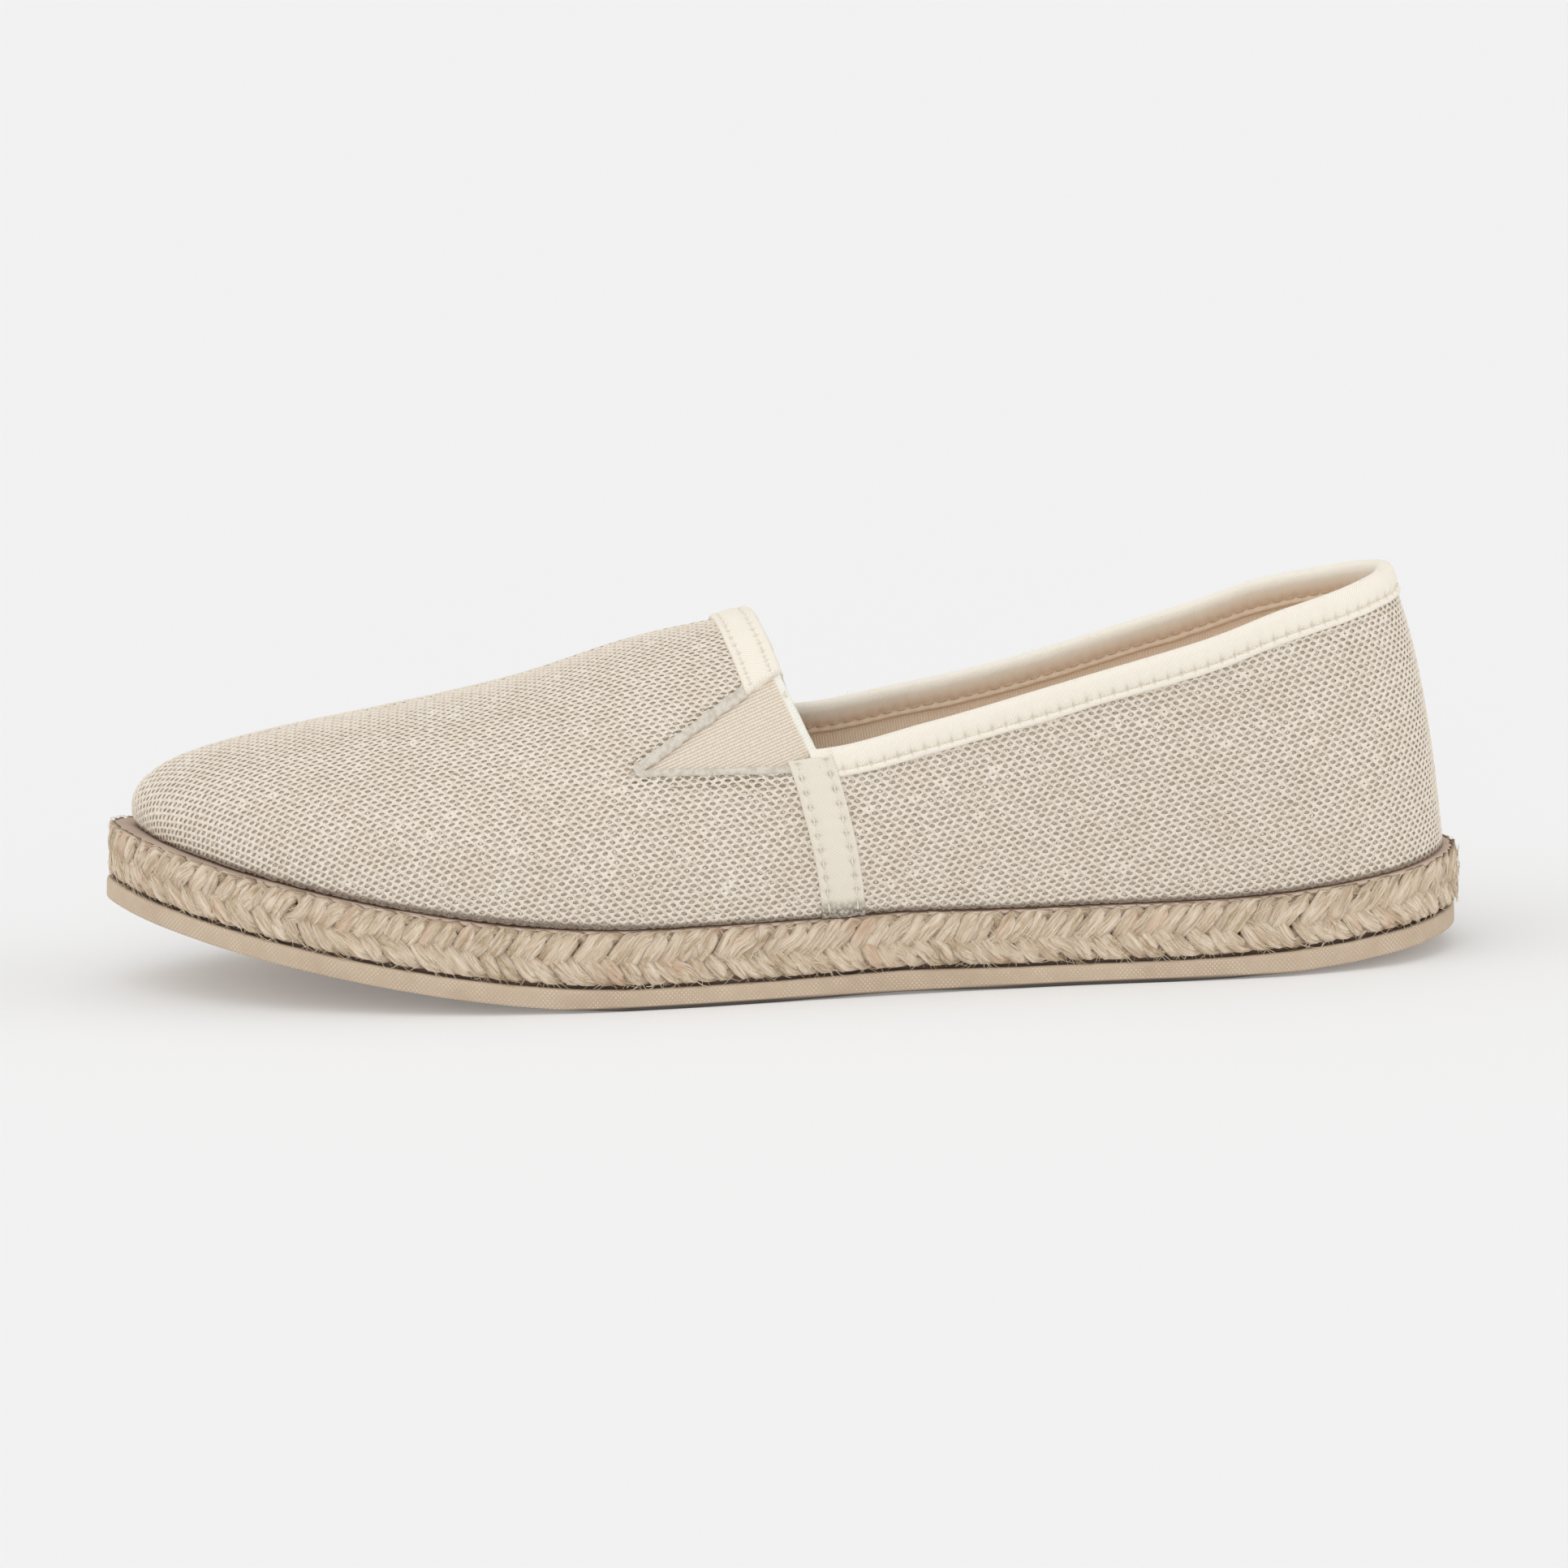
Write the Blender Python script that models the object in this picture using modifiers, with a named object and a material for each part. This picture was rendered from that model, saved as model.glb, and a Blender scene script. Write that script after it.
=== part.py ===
"""A left slip-on espadrille: a hollow mesh upper on a thin rubber sole wrapped in a jute braid.

Tables and sizes are in millimetres, and a point is (station, across, height): station runs from
the heel end to the toe end, across is positive towards the inner side of the foot, and height is
above the floor. to_world turns such a point into the scene's metres, with the toe towards -X.

The upper is one surface, upper_point(side share, climb). The side share runs from 0 at the back
of the heel to 1 at the toe along the medial side, and from 0 to -1 along the lateral side. The
climb runs from 0 at the sole to 1 at the ridge. Every piece on the upper is cut from it.
"""

import math

import bmesh
import bpy
import numpy as np

MM = 0.001

# Driving dimensions
LENGTH = 261.0
BALL_WIDTH = 86.0
INSTEP_HEIGHT = 68.4
HEEL_HEIGHT = 73.0
TOE_SPRING = 17.3
CENTRE_ACROSS = 1.2
LATERAL, MEDIAL = -1.0, 1.0

# Sole: heights are measured up from its curved bottom
OUTSOLE_TOP = 3.5
EDGE_ROUND = 0.9
HEEL_TUCK = 1.3
HEEL_TUCK_SHARE = 0.13
RECESS_TOP = 4.5
RECESS_INSET = 2.4
BRAID_TOP = 13.9
BRAID_THICKNESS = 4.6
BRAID_ROUND = 1.2
RIM_INSET = 0.8
SOLE_TOP = 14.9
HEEL_ROCKER = 4.6
HEEL_FLAT = (58.0, 86.0)
BALL_FLAT = (132.0, 160.0)
ARCH_RISE = 0.6
SPRING_POWER = 1.5
TOE_LEAN = 0.06
TREAD_DEPTH = 0.9
TREAD_WIDTH = 2.2
TREAD_PITCH = 7.5
TREAD_BORDER = 8.0
TREAD_ZONES = ((11.0, 45.0), (177.0, 245.0))

# Upper
WALL = 1.6
GAP = 0.3
TAPE = 0.6
BINDING_DROP = 5.4
TAB_DEPTH = 7.2
STRIP_WIDTH = 8.2
INSOLE_THICKNESS = 3.0
GORE_RECESS = 0.35
GORE_THICKNESS = 0.9
GORE_SHARES = (0.4585, 0.6085)
GORE_CLIMBS = (0.30, 0.85)
THROAT_SHARE = 0.4585
TAB_END = 0.60
STRIP_FOOT, STRIP_TOP = 15.5, 44.6

# The sole's outline: station as a share of LENGTH, half widths as shares of BALL_WIDTH
OUTLINE = {
    "columns": ("station", "lateral", "medial"),
    "rows": (
        (0.012, 0.145, 0.145),
        (0.046, 0.262, 0.262),
        (0.116, 0.343, 0.337),
        (0.193, 0.366, 0.355),
        (0.290, 0.372, 0.337),
        (0.386, 0.395, 0.320),
        (0.483, 0.430, 0.349),
        (0.579, 0.472, 0.424),
        (0.656, 0.486, 0.488),
        (0.734, 0.471, 0.514),
        (0.811, 0.419, 0.486),
        (0.888, 0.326, 0.401),
        (0.946, 0.209, 0.285),
        (0.981, 0.093, 0.169),
    ),
}
TOE_TIP_ACROSS = 0.041

# The upper's ribs, from the heel (share 0) to the toe (share 1). Each is a cubic from a foot on the
# sole to a spine: ahead of the throat that is a point of the ridge, and behind it a point over the
# ankle, which the collar cuts the rib short of.
#   share         the foot's place round the sole
#   medial_ahead  how much further round a medial rib has its foot
#   ledge         how far inside the sole's edge the foot is, in millimetres
#   swell, lean   how far the lower handle leans out in millimetres, and towards the spine as a share
#   rise, reach   the lengths of the lower and upper handles, as shares of the rib's height and width
#   sweep         how far ahead the upper handle is moved, in millimetres
#   fan           whether the rib leaves its spine sideways (0) or straight at its foot (1)
#   station, across, height   the spine: shares of LENGTH, millimetres, shares of INSTEP_HEIGHT
RIBS = {
    "columns": (
        "share",
        "medial_ahead",
        "ledge",
        "swell",
        "lean",
        "rise",
        "reach",
        "sweep",
        "fan",
        "station",
        "across",
        "height",
    ),
    "rows": (
        (0.00, 0.000, 3.2, -2.2, 0.00, 0.40, 0.77, 0.0, 1.0, 0.124, 0.0, 1.328),
        (0.08, 0.000, 2.8, -0.6, 0.00, 0.38, 0.78, 0.0, 1.0, 0.140, 0.0, 1.328),
        (0.17, 0.004, 2.3, 2.2, 0.00, 0.33, 0.87, 0.0, 0.5, 0.190, 0.5, 1.318),
        (0.28, 0.014, 1.9, 4.0, 0.00, 0.30, 0.76, 0.0, 0.0, 0.310, 1.0, 1.268),
        (0.38, 0.022, 1.7, 4.2, 0.03, 0.32, 0.64, -1.5, 0.0, 0.430, 2.0, 1.177),
        (THROAT_SHARE, 0.024, 1.7, 4.6, 0.02, 0.40, 0.64, -3.0, 0.0, 0.519, 3.0, 1.000),
        (0.54, 0.024, 1.8, 4.2, 0.03, 0.44, 0.60, -1.5, 0.0, 0.600, 3.5, 0.936),
        (0.65, 0.018, 2.1, 3.6, 0.00, 0.48, 0.58, 0.0, 0.0, 0.700, 4.0, 0.825),
        (0.76, 0.010, 2.6, 3.2, 0.00, 0.50, 0.58, 0.0, 0.1, 0.790, 4.0, 0.757),
        (0.87, 0.004, 3.8, 3.2, 0.00, 0.52, 0.58, 0.0, 0.5, 0.862, 4.0, 0.711),
        (0.94, 0.000, 4.8, 3.4, 0.00, 0.54, 0.60, 0.0, 0.9, 0.895, 3.8, 0.687),
        (1.00, 0.000, 5.5, 3.4, 0.00, 0.55, 0.62, 0.0, 1.0, 0.908, 3.6, 0.677),
    ),
}

# The collar's raw edge: side share, lateral height as a share of HEEL_HEIGHT, and how many
# millimetres lower the medial side lies
COLLAR = {
    "columns": ("share", "height", "medial_drop"),
    "rows": (
        (0.00, 1.006, 0.0),
        (0.06, 0.992, 0.0),
        (0.14, 0.940, 0.1),
        (0.21, 0.858, 0.6),
        (0.30, 0.762, 1.4),
        (0.38, 0.684, 0.6),
        (THROAT_SHARE, 0.628, 0.0),
    ),
}

# The notch for the elastic gore, seen from the side: station and height
NOTCH = {
    "columns": ("station", "height"),
    "rows": (
        (157.3, 43.6),
        (122.0, 43.2),
        (116.0, 50.0),
        (116.0, 68.4),
    ),
}

# Colour, roughness
FINISHES = {
    "outsole": ((0.56, 0.45, 0.34), 0.65),
    "midsole": ((0.50, 0.40, 0.34), 0.80),
    "jute_braid": ((0.60, 0.47, 0.29), 0.95),
    "insole": ((0.55, 0.42, 0.31), 0.90),
    "upper": ((0.78, 0.73, 0.65), 0.90),
    "gore": ((0.70, 0.60, 0.48), 0.90),
    "collar_binding": ((0.86, 0.84, 0.76), 0.90),
    "vamp_tab": ((0.86, 0.84, 0.76), 0.90),
    "side_strip": ((0.86, 0.84, 0.76), 0.90),
}

# How finely each piece is divided
POINTS_A_SIDE = 42
QUARTER_COLUMNS = 37
VAMP_COLUMNS = 24
ROWS_BELOW_THROAT = 8
ROWS_ABOVE_THROAT = 8
BINDING_COLUMNS = 43
TAB_COLUMNS = 23
GORE_STEPS = 12
STRIP_ROWS = 12
FINE_STEPS = 200
MERGE = 0.01 * MM


# ---------------------------------------------------------------- scene and materials


def clear_scene():
    for obj in list(bpy.data.objects):
        bpy.data.objects.remove(obj)


def new_collection(name):
    made = bpy.data.collections.new(name)
    bpy.context.scene.collection.children.link(made)
    return made


def material(name):
    colour, roughness = FINISHES[name]
    made = bpy.data.materials.get(name) or bpy.data.materials.new(name)
    made.use_nodes = True
    shader = made.node_tree.nodes["Principled BSDF"]
    shader.inputs["Base Color"].default_value = (*colour, 1.0)
    shader.inputs["Roughness"].default_value = roughness
    shader.inputs["Metallic"].default_value = 0.0
    return made


def to_world(points):
    """Metres in the scene from millimetres of station, across and height."""
    points = np.asarray(points, float)
    station, across, height = points[..., 0], points[..., 1], points[..., 2]
    return np.stack([LENGTH / 2 - station, across - CENTRE_ACROSS, height], axis=-1) * MM


def add_object(name, mesh, finish, collection, smooth=True):
    obj = bpy.data.objects.new(name, mesh)
    collection.objects.link(obj)
    mesh.materials.append(material(finish))
    mesh.shade_flat()
    if smooth:
        mesh.shade_smooth()
    return obj


# ---------------------------------------------------------------- curves and tables


def column(table, name):
    return np.array([row[table["columns"].index(name)] for row in table["rows"]])


def smooth_value(table, name, key, at):
    """A column of a table at any key: a cubic through its rows that never overshoots, flat at both ends."""
    x, y = column(table, key), column(table, name)
    steps = np.diff(y) / np.diff(x)
    slopes = np.zeros(len(x))
    for i in range(1, len(x) - 1):
        before, after = steps[i - 1], steps[i]
        if before * after > 0:
            slopes[i] = 2 * before * after / (before + after)
    at = np.clip(at, x[0], x[-1])
    i = np.clip(np.searchsorted(x, at, side="right") - 1, 0, len(x) - 2)
    width = x[i + 1] - x[i]
    return hermite(y[i], y[i + 1], width * slopes[i], width * slopes[i + 1], (at - x[i]) / width)


def hermite(first, last, start, end, part):
    """A cubic from first to last, with the given changes per whole span at its ends."""
    rest = 1 - part
    ends = first * (1 + 2 * part) * rest**2 + last * (1 + 2 * rest) * part**2
    return ends + start * part * rest**2 - end * part**2 * rest


def closed_curve(points, steps):
    """A smooth closed curve through the points: centripetal Catmull-Rom, as cubic Hermite spans."""
    points = np.asarray(points, float)
    made = []
    for i in range(len(points)):
        a, b, c, d = (points[(i + k) % len(points)] for k in (-1, 0, 1, 2))
        ab, bc, cd = (math.dist(*pair) ** 0.5 for pair in ((a, b), (b, c), (c, d)))
        start = bc * ((b - a) / ab - (c - a) / (ab + bc) + (c - b) / bc)
        end = bc * ((c - b) / bc - (d - b) / (bc + cd) + (d - c) / cd)
        for part in np.arange(steps) / steps:
            made.append(hermite(b, c, start, end, part))
    return np.array(made)


def sole_sides(steps=40):
    """Each side of the sole, heel to toe: shares of its length, points and outward normals."""
    stations = column(OUTLINE, "station") * LENGTH
    lateral = np.stack([stations, -column(OUTLINE, "lateral") * BALL_WIDTH], axis=1)
    medial = np.stack([stations, column(OUTLINE, "medial") * BALL_WIDTH], axis=1)
    ends = [[0.0, 0.0]], [[LENGTH, TOE_TIP_ACROSS * BALL_WIDTH]]
    curve = closed_curve(np.concatenate([ends[0], lateral, ends[1], medial[::-1]]), steps)
    ahead = np.roll(curve, -1, axis=0) - np.roll(curve, 1, axis=0)
    outward = np.stack([ahead[:, 1], -ahead[:, 0]], axis=1)
    outward /= np.linalg.norm(outward, axis=1, keepdims=True)
    round_trip = np.arange(len(curve) + 1) % len(curve)
    toe = (len(stations) + 1) * steps
    sides = {}
    for side, walk in ((LATERAL, round_trip[: toe + 1]), (MEDIAL, round_trip[toe:][::-1])):
        lengths = np.linalg.norm(np.diff(curve[walk], axis=0), axis=1)
        walked = np.concatenate([[0.0], np.cumsum(lengths)])
        sides[side] = walked / walked[-1], curve[walk], outward[walk]
    return sides


SIDES = sole_sides()


# ---------------------------------------------------------------- the sole's own coordinates


def edge_point(side, share, inset=0.0):
    """Station and across of a point on the sole's outline or a distance inside it, and its normal."""
    shares, points, outward = SIDES[side]
    point = np.stack([np.interp(share, shares, points[:, k]) for k in (0, 1)], axis=-1)
    normal = np.stack([np.interp(share, shares, outward[:, k]) for k in (0, 1)], axis=-1)
    normal /= np.linalg.norm(normal, axis=-1, keepdims=True)
    return point - np.asarray(inset)[..., None] * normal, normal


def bottom_curve(station):
    """The sole's underside: a heel rocker, two flat spots with a low arch between, and a toe spring."""
    rocker = HEEL_ROCKER * (np.clip(HEEL_FLAT[0] - station, 0, None) / HEEL_FLAT[0]) ** 2
    ahead = np.clip(station - BALL_FLAT[1], 0, None) / (LENGTH - BALL_FLAT[1])
    waist = np.clip((station - HEEL_FLAT[1]) / (BALL_FLAT[0] - HEEL_FLAT[1]), 0, 1)
    return rocker + TOE_SPRING * ahead**SPRING_POWER + ARCH_RISE * np.sin(np.pi * waist) ** 2


def bend_stations():
    """Where the underside bends. It is straight in between, which keeps the layers' faces flat."""
    bends = ((0.0, HEEL_FLAT[0], 5), (HEEL_FLAT[1], BALL_FLAT[0], 4), (BALL_FLAT[1], LENGTH, 9))
    return np.array([at for start, end, count in bends for at in np.linspace(start, end, count + 1)])


def on_sole(points):
    """Lays flat points over the underside. At the toe, the layers lean back as they go up."""
    station, across, height = np.moveaxis(np.asarray(points, float), -1, 0)
    ahead = np.clip(station - BALL_FLAT[1], 0, None) / (LENGTH - BALL_FLAT[1])
    floor = np.interp(station, bend_stations(), bottom_curve(bend_stations()))
    return np.stack([station - TOE_LEAN * ahead * height, across, floor + height], axis=-1)


def heel_tuck(share):
    """How much further in the rubber ends under the heel's braid."""
    return HEEL_TUCK * np.clip(1 - share / HEEL_TUCK_SHARE, 0, None)


def ledge_width(share):
    return smooth_value(RIBS, "ledge", "share", share)


def outline_ring(inset, height, extra=None):
    """One turn round the sole, heel to toe along the lateral side and back along the medial one.

    extra is a function of the share that adds to the inset.
    """
    shares = np.arange(POINTS_A_SIDE) / POINTS_A_SIDE
    turn = []
    for side, walk in ((LATERAL, shares), (MEDIAL, 1.0 - shares)):
        inside = inset + (extra(walk) if extra else 0.0 * walk)
        turn.append(edge_point(side, walk, inside)[0])
    turn = np.concatenate(turn)
    return np.column_stack([turn, np.full(len(turn), height)])


# ---------------------------------------------------------------- the upper's own function


def unit(vectors):
    return vectors / np.linalg.norm(vectors, axis=-1, keepdims=True)


def upper_point(side_share, climb):
    """A point of the upper's outer face. Past the toe or the ridge, the other side goes on."""
    u, v = np.broadcast_arrays(np.asarray(side_share, float), np.asarray(climb, float))
    u = np.where(v > 1, -u, u)
    v = np.where(v > 1, 2 - v, v)
    u = np.where(np.abs(u) > 1, u - 2 * np.sign(u), u)
    side, share = np.where(u < 0, LATERAL, MEDIAL), np.abs(u)
    rib = {name: smooth_value(RIBS, name, "share", share) for name in RIBS["columns"][1:]}

    starts = {LATERAL: share, MEDIAL: share + rib["medial_ahead"]}
    feet = [edge_point(each, start, rib["ledge"]) for each, start in starts.items()]
    lateral = (side == LATERAL)[..., None]
    edge, normal = (np.where(lateral, feet[0][k], feet[1][k]) for k in (0, 1))
    foot = on_sole(np.concatenate([edge, np.full_like(edge[..., :1], SOLE_TOP + GAP)], axis=-1))
    spine = np.stack([rib["station"] * LENGTH, rib["across"], rib["height"] * INSTEP_HEIGHT], axis=-1)

    level = np.array([1.0, 1.0, 0.0])
    up = np.array([0.0, 0.0, 1.0])
    apart = np.linalg.norm((foot - spine) * level, axis=-1, keepdims=True)
    sideways = side[..., None] * np.array([0.0, 1.0, 0.0])
    fan = rib["fan"][..., None]
    leave = unit(fan * unit((foot - spine) * level) + (1 - fan) * sideways)
    roof = np.where(share > THROAT_SHARE, ridge_slope(share), 0.0)[..., None] * leave[..., :1]
    outward = np.concatenate([normal, np.zeros_like(normal[..., :1])], axis=-1)
    low = foot + outward * rib["swell"][..., None]
    low = low + (spine - foot) * np.stack([rib["lean"], 0.0 * share, rib["rise"]], axis=-1)
    high = spine + (leave + up * roof) * rib["reach"][..., None] * apart
    high = high + np.stack([rib["sweep"], 0.0 * share, 0.0 * share], axis=-1)

    v = v[..., None]
    return (1 - v) ** 3 * foot + 3 * v * (1 - v) ** 2 * low + 3 * v**2 * (1 - v) * high + v**3 * spine


def ridge_slope(share):
    """How the ridge's height changes with station."""
    share = np.clip(share, THROAT_SHARE, 0.98)
    ends = share - 0.02, share + 0.02
    height = [smooth_value(RIBS, "height", "share", end) * INSTEP_HEIGHT for end in ends]
    station = [smooth_value(RIBS, "station", "share", end) * LENGTH for end in ends]
    return (height[1] - height[0]) / (station[1] - station[0])


def along(side_share, climb):
    """World-space change of the upper's face for a unit of side share and of climb."""
    step = 0.002
    across = upper_point(side_share + step, climb) - upper_point(side_share - step, climb)
    upward = upper_point(side_share, climb + step) - upper_point(side_share, climb - step)
    to_metres = np.array([-1.0, 1.0, 1.0]) * MM / (2 * step)
    return across * to_metres, upward * to_metres


def off_upper(side_share, climb, out):
    """World point a distance off the upper's outer face, outwards when positive."""
    across, upward = along(side_share, climb)
    normal = unit(np.cross(across, upward))
    return to_world(upper_point(side_share, climb)) + normal * np.asarray(out)[..., None] * MM


def collar_climb(side_share):
    """The climb at which a rib meets the collar's raw edge."""
    sides = np.atleast_1d(side_share)
    shares = np.abs(sides)
    drop = smooth_value(COLLAR, "medial_drop", "share", shares)
    wanted = smooth_value(COLLAR, "height", "share", shares) * HEEL_HEIGHT - np.where(sides > 0, drop, 0.0)
    climbs = np.linspace(0.0, 1.0, FINE_STEPS)
    heights = upper_point(np.atleast_1d(side_share)[:, None], climbs[None, :])[..., 2]
    return np.array([np.interp(z, row, climbs) for z, row in zip(wanted, heights)])


# ---------------------------------------------------------------- mesh building


def grid_faces(rows, columns, wrap=False):
    """Quads between neighbouring rows of a grid of points. wrap joins its last column to the first."""
    spans = columns if wrap else columns - 1
    return [
        (
            row * columns + span,
            (row + 1) * columns + span,
            (row + 1) * columns + (span + 1) % columns,
            row * columns + (span + 1) % columns,
        )
        for row in range(rows - 1)
        for span in range(spans)
    ]


def add_shell(name, sheets, thickness, finish, collection):
    """A solid from open sheets of world points, which meet edge to edge, thickened by Solidify.

    Positive thickness grows along the sheets' normals, and negative against them.
    """
    points, faces = [], []
    for sheet in sheets:
        faces += [tuple(len(points) + k for k in face) for face in grid_faces(*sheet.shape[:2])]
        points += sheet.reshape(-1, 3).tolist()
    mesh = bpy.data.meshes.new(name)
    mesh.from_pydata(points, [], faces)
    shape = bmesh.new()
    shape.from_mesh(mesh)
    bmesh.ops.remove_doubles(shape, verts=shape.verts, dist=MERGE)
    shape.to_mesh(mesh)
    shape.free()
    obj = add_object(name, mesh, finish, collection)
    solidify = obj.modifiers.new("wall", "SOLIDIFY")
    solidify.thickness = abs(thickness) * MM
    solidify.offset = math.copysign(1.0, thickness)
    solidify.use_even_offset = True
    return obj


def add_boolean(obj, cutter, operation):
    boolean = obj.modifiers.new(cutter.name, "BOOLEAN")
    boolean.solver = "EXACT"
    boolean.operation = operation
    boolean.object = cutter


def add_cutter(name, rings, collection):
    """A closed helper solid from rings of world points, kept out of the render."""
    rings = np.asarray(rings, float)
    count, around = rings.shape[:2]
    faces = grid_faces(count, around, wrap=True)
    faces += [tuple(range(around)), tuple(range((count - 1) * around, count * around))]
    cutter = bpy.data.objects.new(name, closed_mesh(name, rings, faces))
    collection.objects.link(cutter)
    cutter.hide_render = True
    cutter.display_type = "WIRE"
    return cutter


def closed_mesh(name, points, faces):
    mesh = bpy.data.meshes.new(name)
    mesh.from_pydata(np.reshape(points, (-1, 3)).tolist(), [], faces)
    shape = bmesh.new()
    shape.from_mesh(mesh)
    bmesh.ops.recalc_face_normals(shape, faces=shape.faces)
    shape.to_mesh(mesh)
    shape.free()
    return mesh


# ---------------------------------------------------------------- sole pieces


def add_sole_layer(name, levels, finish, collection, extra=None):
    """A solid from (inset, height) levels of the sole's outline, bent to the underside."""
    rings = [outline_ring(inset, height, extra) for inset, height in levels]
    around = len(rings[0])
    faces = grid_faces(len(rings), around, wrap=True)
    faces += [tuple(range(around)), tuple(range((len(rings) - 1) * around, len(rings) * around))]
    mesh = closed_mesh(name, rings, faces)
    shape = bmesh.new()
    shape.from_mesh(mesh)
    for station in bend_stations():
        everything = shape.verts[:] + shape.edges[:] + shape.faces[:]
        bmesh.ops.bisect_plane(
            shape, geom=everything, dist=0.01, plane_co=(station, 0, 0), plane_no=(1, 0, 0)
        )
    for vertex in shape.verts:
        vertex.co = to_world(on_sole(vertex.co))
    bmesh.ops.recalc_face_normals(shape, faces=shape.faces)
    shape.to_mesh(mesh)
    shape.free()
    return add_object(name, mesh, finish, collection, smooth=False)


def add_outsole(collection, cutters):
    levels = (
        (EDGE_ROUND, 0.0),
        (0.3 * EDGE_ROUND, 0.3 * EDGE_ROUND),
        (0.0, EDGE_ROUND),
        (0.0, OUTSOLE_TOP),
    )
    outsole = add_sole_layer("outsole", levels, "outsole", collection, heel_tuck)
    for number, station in enumerate(tread_stations()):
        groove = add_cutter(f"tread_groove_{number:02d}", tread_groove(station), cutters)
        add_boolean(outsole, groove, "DIFFERENCE")


def tread_stations():
    return [at for start, end in TREAD_ZONES for at in np.arange(start, end, TREAD_PITCH)]


def tread_groove(station):
    """Two rings of a groove's cutter across the sole, stopping short of its edge."""
    ends = []
    for side in (LATERAL, MEDIAL):
        points = edge_point(side, SIDES[side][0], TREAD_BORDER)[0]
        ends.append(np.interp(station, points[:, 0], points[:, 1]))
    corners = ((0.0, -1.0), (TREAD_WIDTH, -1.0), (TREAD_WIDTH, TREAD_DEPTH), (0.0, TREAD_DEPTH))
    flat = [[(station + ahead, across, height) for ahead, height in corners] for across in ends]
    return to_world(on_sole(flat))


def add_midsole(collection):
    """The core inside the braid, with the recess below the braid and the thin rim above it."""
    levels = (
        (RECESS_INSET, OUTSOLE_TOP + GAP),
        (RECESS_INSET, RECESS_TOP),
        (BRAID_THICKNESS + GAP, RECESS_TOP),
        (BRAID_THICKNESS + GAP, BRAID_TOP + GAP),
        (RIM_INSET, BRAID_TOP + GAP),
        (RIM_INSET, SOLE_TOP),
    )
    add_sole_layer("midsole", levels, "midsole", collection)


def add_braid(collection):
    """The jute ring: its section is flat inside and rounded outside."""
    heights = np.linspace(RECESS_TOP + GAP, BRAID_TOP, 6)
    insets = BRAID_ROUND * np.linspace(-1, 1, len(heights)) ** 2
    section = [(BRAID_THICKNESS, heights[0]), *zip(insets, heights), (BRAID_THICKNESS, heights[-1])]
    around = np.stack([outline_ring(inset, height) for inset, height in section], axis=1)
    rings = to_world(on_sole(np.concatenate([around, around[:1]])))
    faces = grid_faces(len(rings), len(section), wrap=True)
    count = len(around) * len(section)
    faces = [tuple(k % count for k in face) for face in faces]
    add_object("jute_braid", closed_mesh("jute_braid", rings[:-1], faces), "jute_braid", collection)


def add_insole(collection):
    low = SOLE_TOP + GAP
    high = low + INSOLE_THICKNESS
    inside = WALL + 0.5
    levels = ((inside, low), (inside, high - 1.0), (inside + 0.8, high))
    add_sole_layer("insole", levels, "insole", collection, ledge_width)


# ---------------------------------------------------------------- pieces cut from the upper's function


def add_upper(collection, notches):
    """One hollow solid: the quarters round the heel, and the vamp's two halves up to the ridge."""
    low_rows = np.linspace(0.0, 1.0, ROWS_BELOW_THROAT)
    quarters = np.linspace(-THROAT_SHARE, THROAT_SHARE, QUARTER_COLUMNS)
    climbs = collar_climb(quarters)[:, None] * low_rows
    sheets = [to_world(upper_point(quarters[:, None], climbs))]
    for first, last in ((THROAT_SHARE, 1.0), (-1.0, -THROAT_SHARE)):
        half = np.linspace(first, last, VAMP_COLUMNS)
        throat_climb = collar_climb(math.copysign(THROAT_SHARE, first))[0]
        high_rows = np.linspace(throat_climb, 1.0, ROWS_ABOVE_THROAT)[1:]
        climbs = np.concatenate([throat_climb * low_rows, high_rows])
        sheets.append(to_world(upper_point(half[:, None], climbs)))
    upper = add_shell("upper", sheets, -WALL, "upper", collection)
    for notch in notches.values():
        add_boolean(upper, notch, "DIFFERENCE")


def notch_rings(side, shift=(0.0, 0.0)):
    """The notch's outline swept from the middle of the shoe out through one side."""
    outline = [(station + shift[0], height + shift[1]) for station, height in NOTCH["rows"]]
    ends = (0.0, side * BALL_WIDTH)
    return to_world([[(station, across, height) for station, height in outline] for across in ends])


def gore_shift():
    """How far a wedge moves out of the notch for GAP on both of its faces."""
    corner, low, _, high = np.array(NOTCH["rows"])
    low_way, high_way = unit(low - corner), unit(high - corner)
    middle = unit(low_way + high_way)
    half_angle = math.acos(low_way @ middle)
    return tuple(middle * GAP / math.sin(half_angle))


def add_gore(name, side, collection, cutters):
    """The elastic wedge: a thin sheet set a little into the wall, cut to the notch's shape."""
    shares = np.linspace(*GORE_SHARES, GORE_STEPS + 1)[:: int(side)]
    climbs = np.linspace(*GORE_CLIMBS, GORE_STEPS + 1)
    sheet = off_upper(side * shares[:, None], climbs[None, :], -GORE_RECESS)
    gore = add_shell(name, [sheet], -GORE_THICKNESS, "gore", collection)
    wedge = add_cutter(f"{name}_outline", notch_rings(side, gore_shift()), cutters)
    add_boolean(gore, wedge, "INTERSECT")


def tape_section(depth):
    """The folded tape's inner face, as rows of (distance down from the raw edge, distance off the wall)."""
    outside, inside = GAP, -(WALL + GAP)
    return (
        (depth, outside),
        (depth / 2, outside),
        (0.0, outside),
        (-GAP, outside - GAP),
        (-GAP, inside + GAP),
        (0.0, inside),
        (depth / 2, inside),
        (depth, inside),
    )


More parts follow.
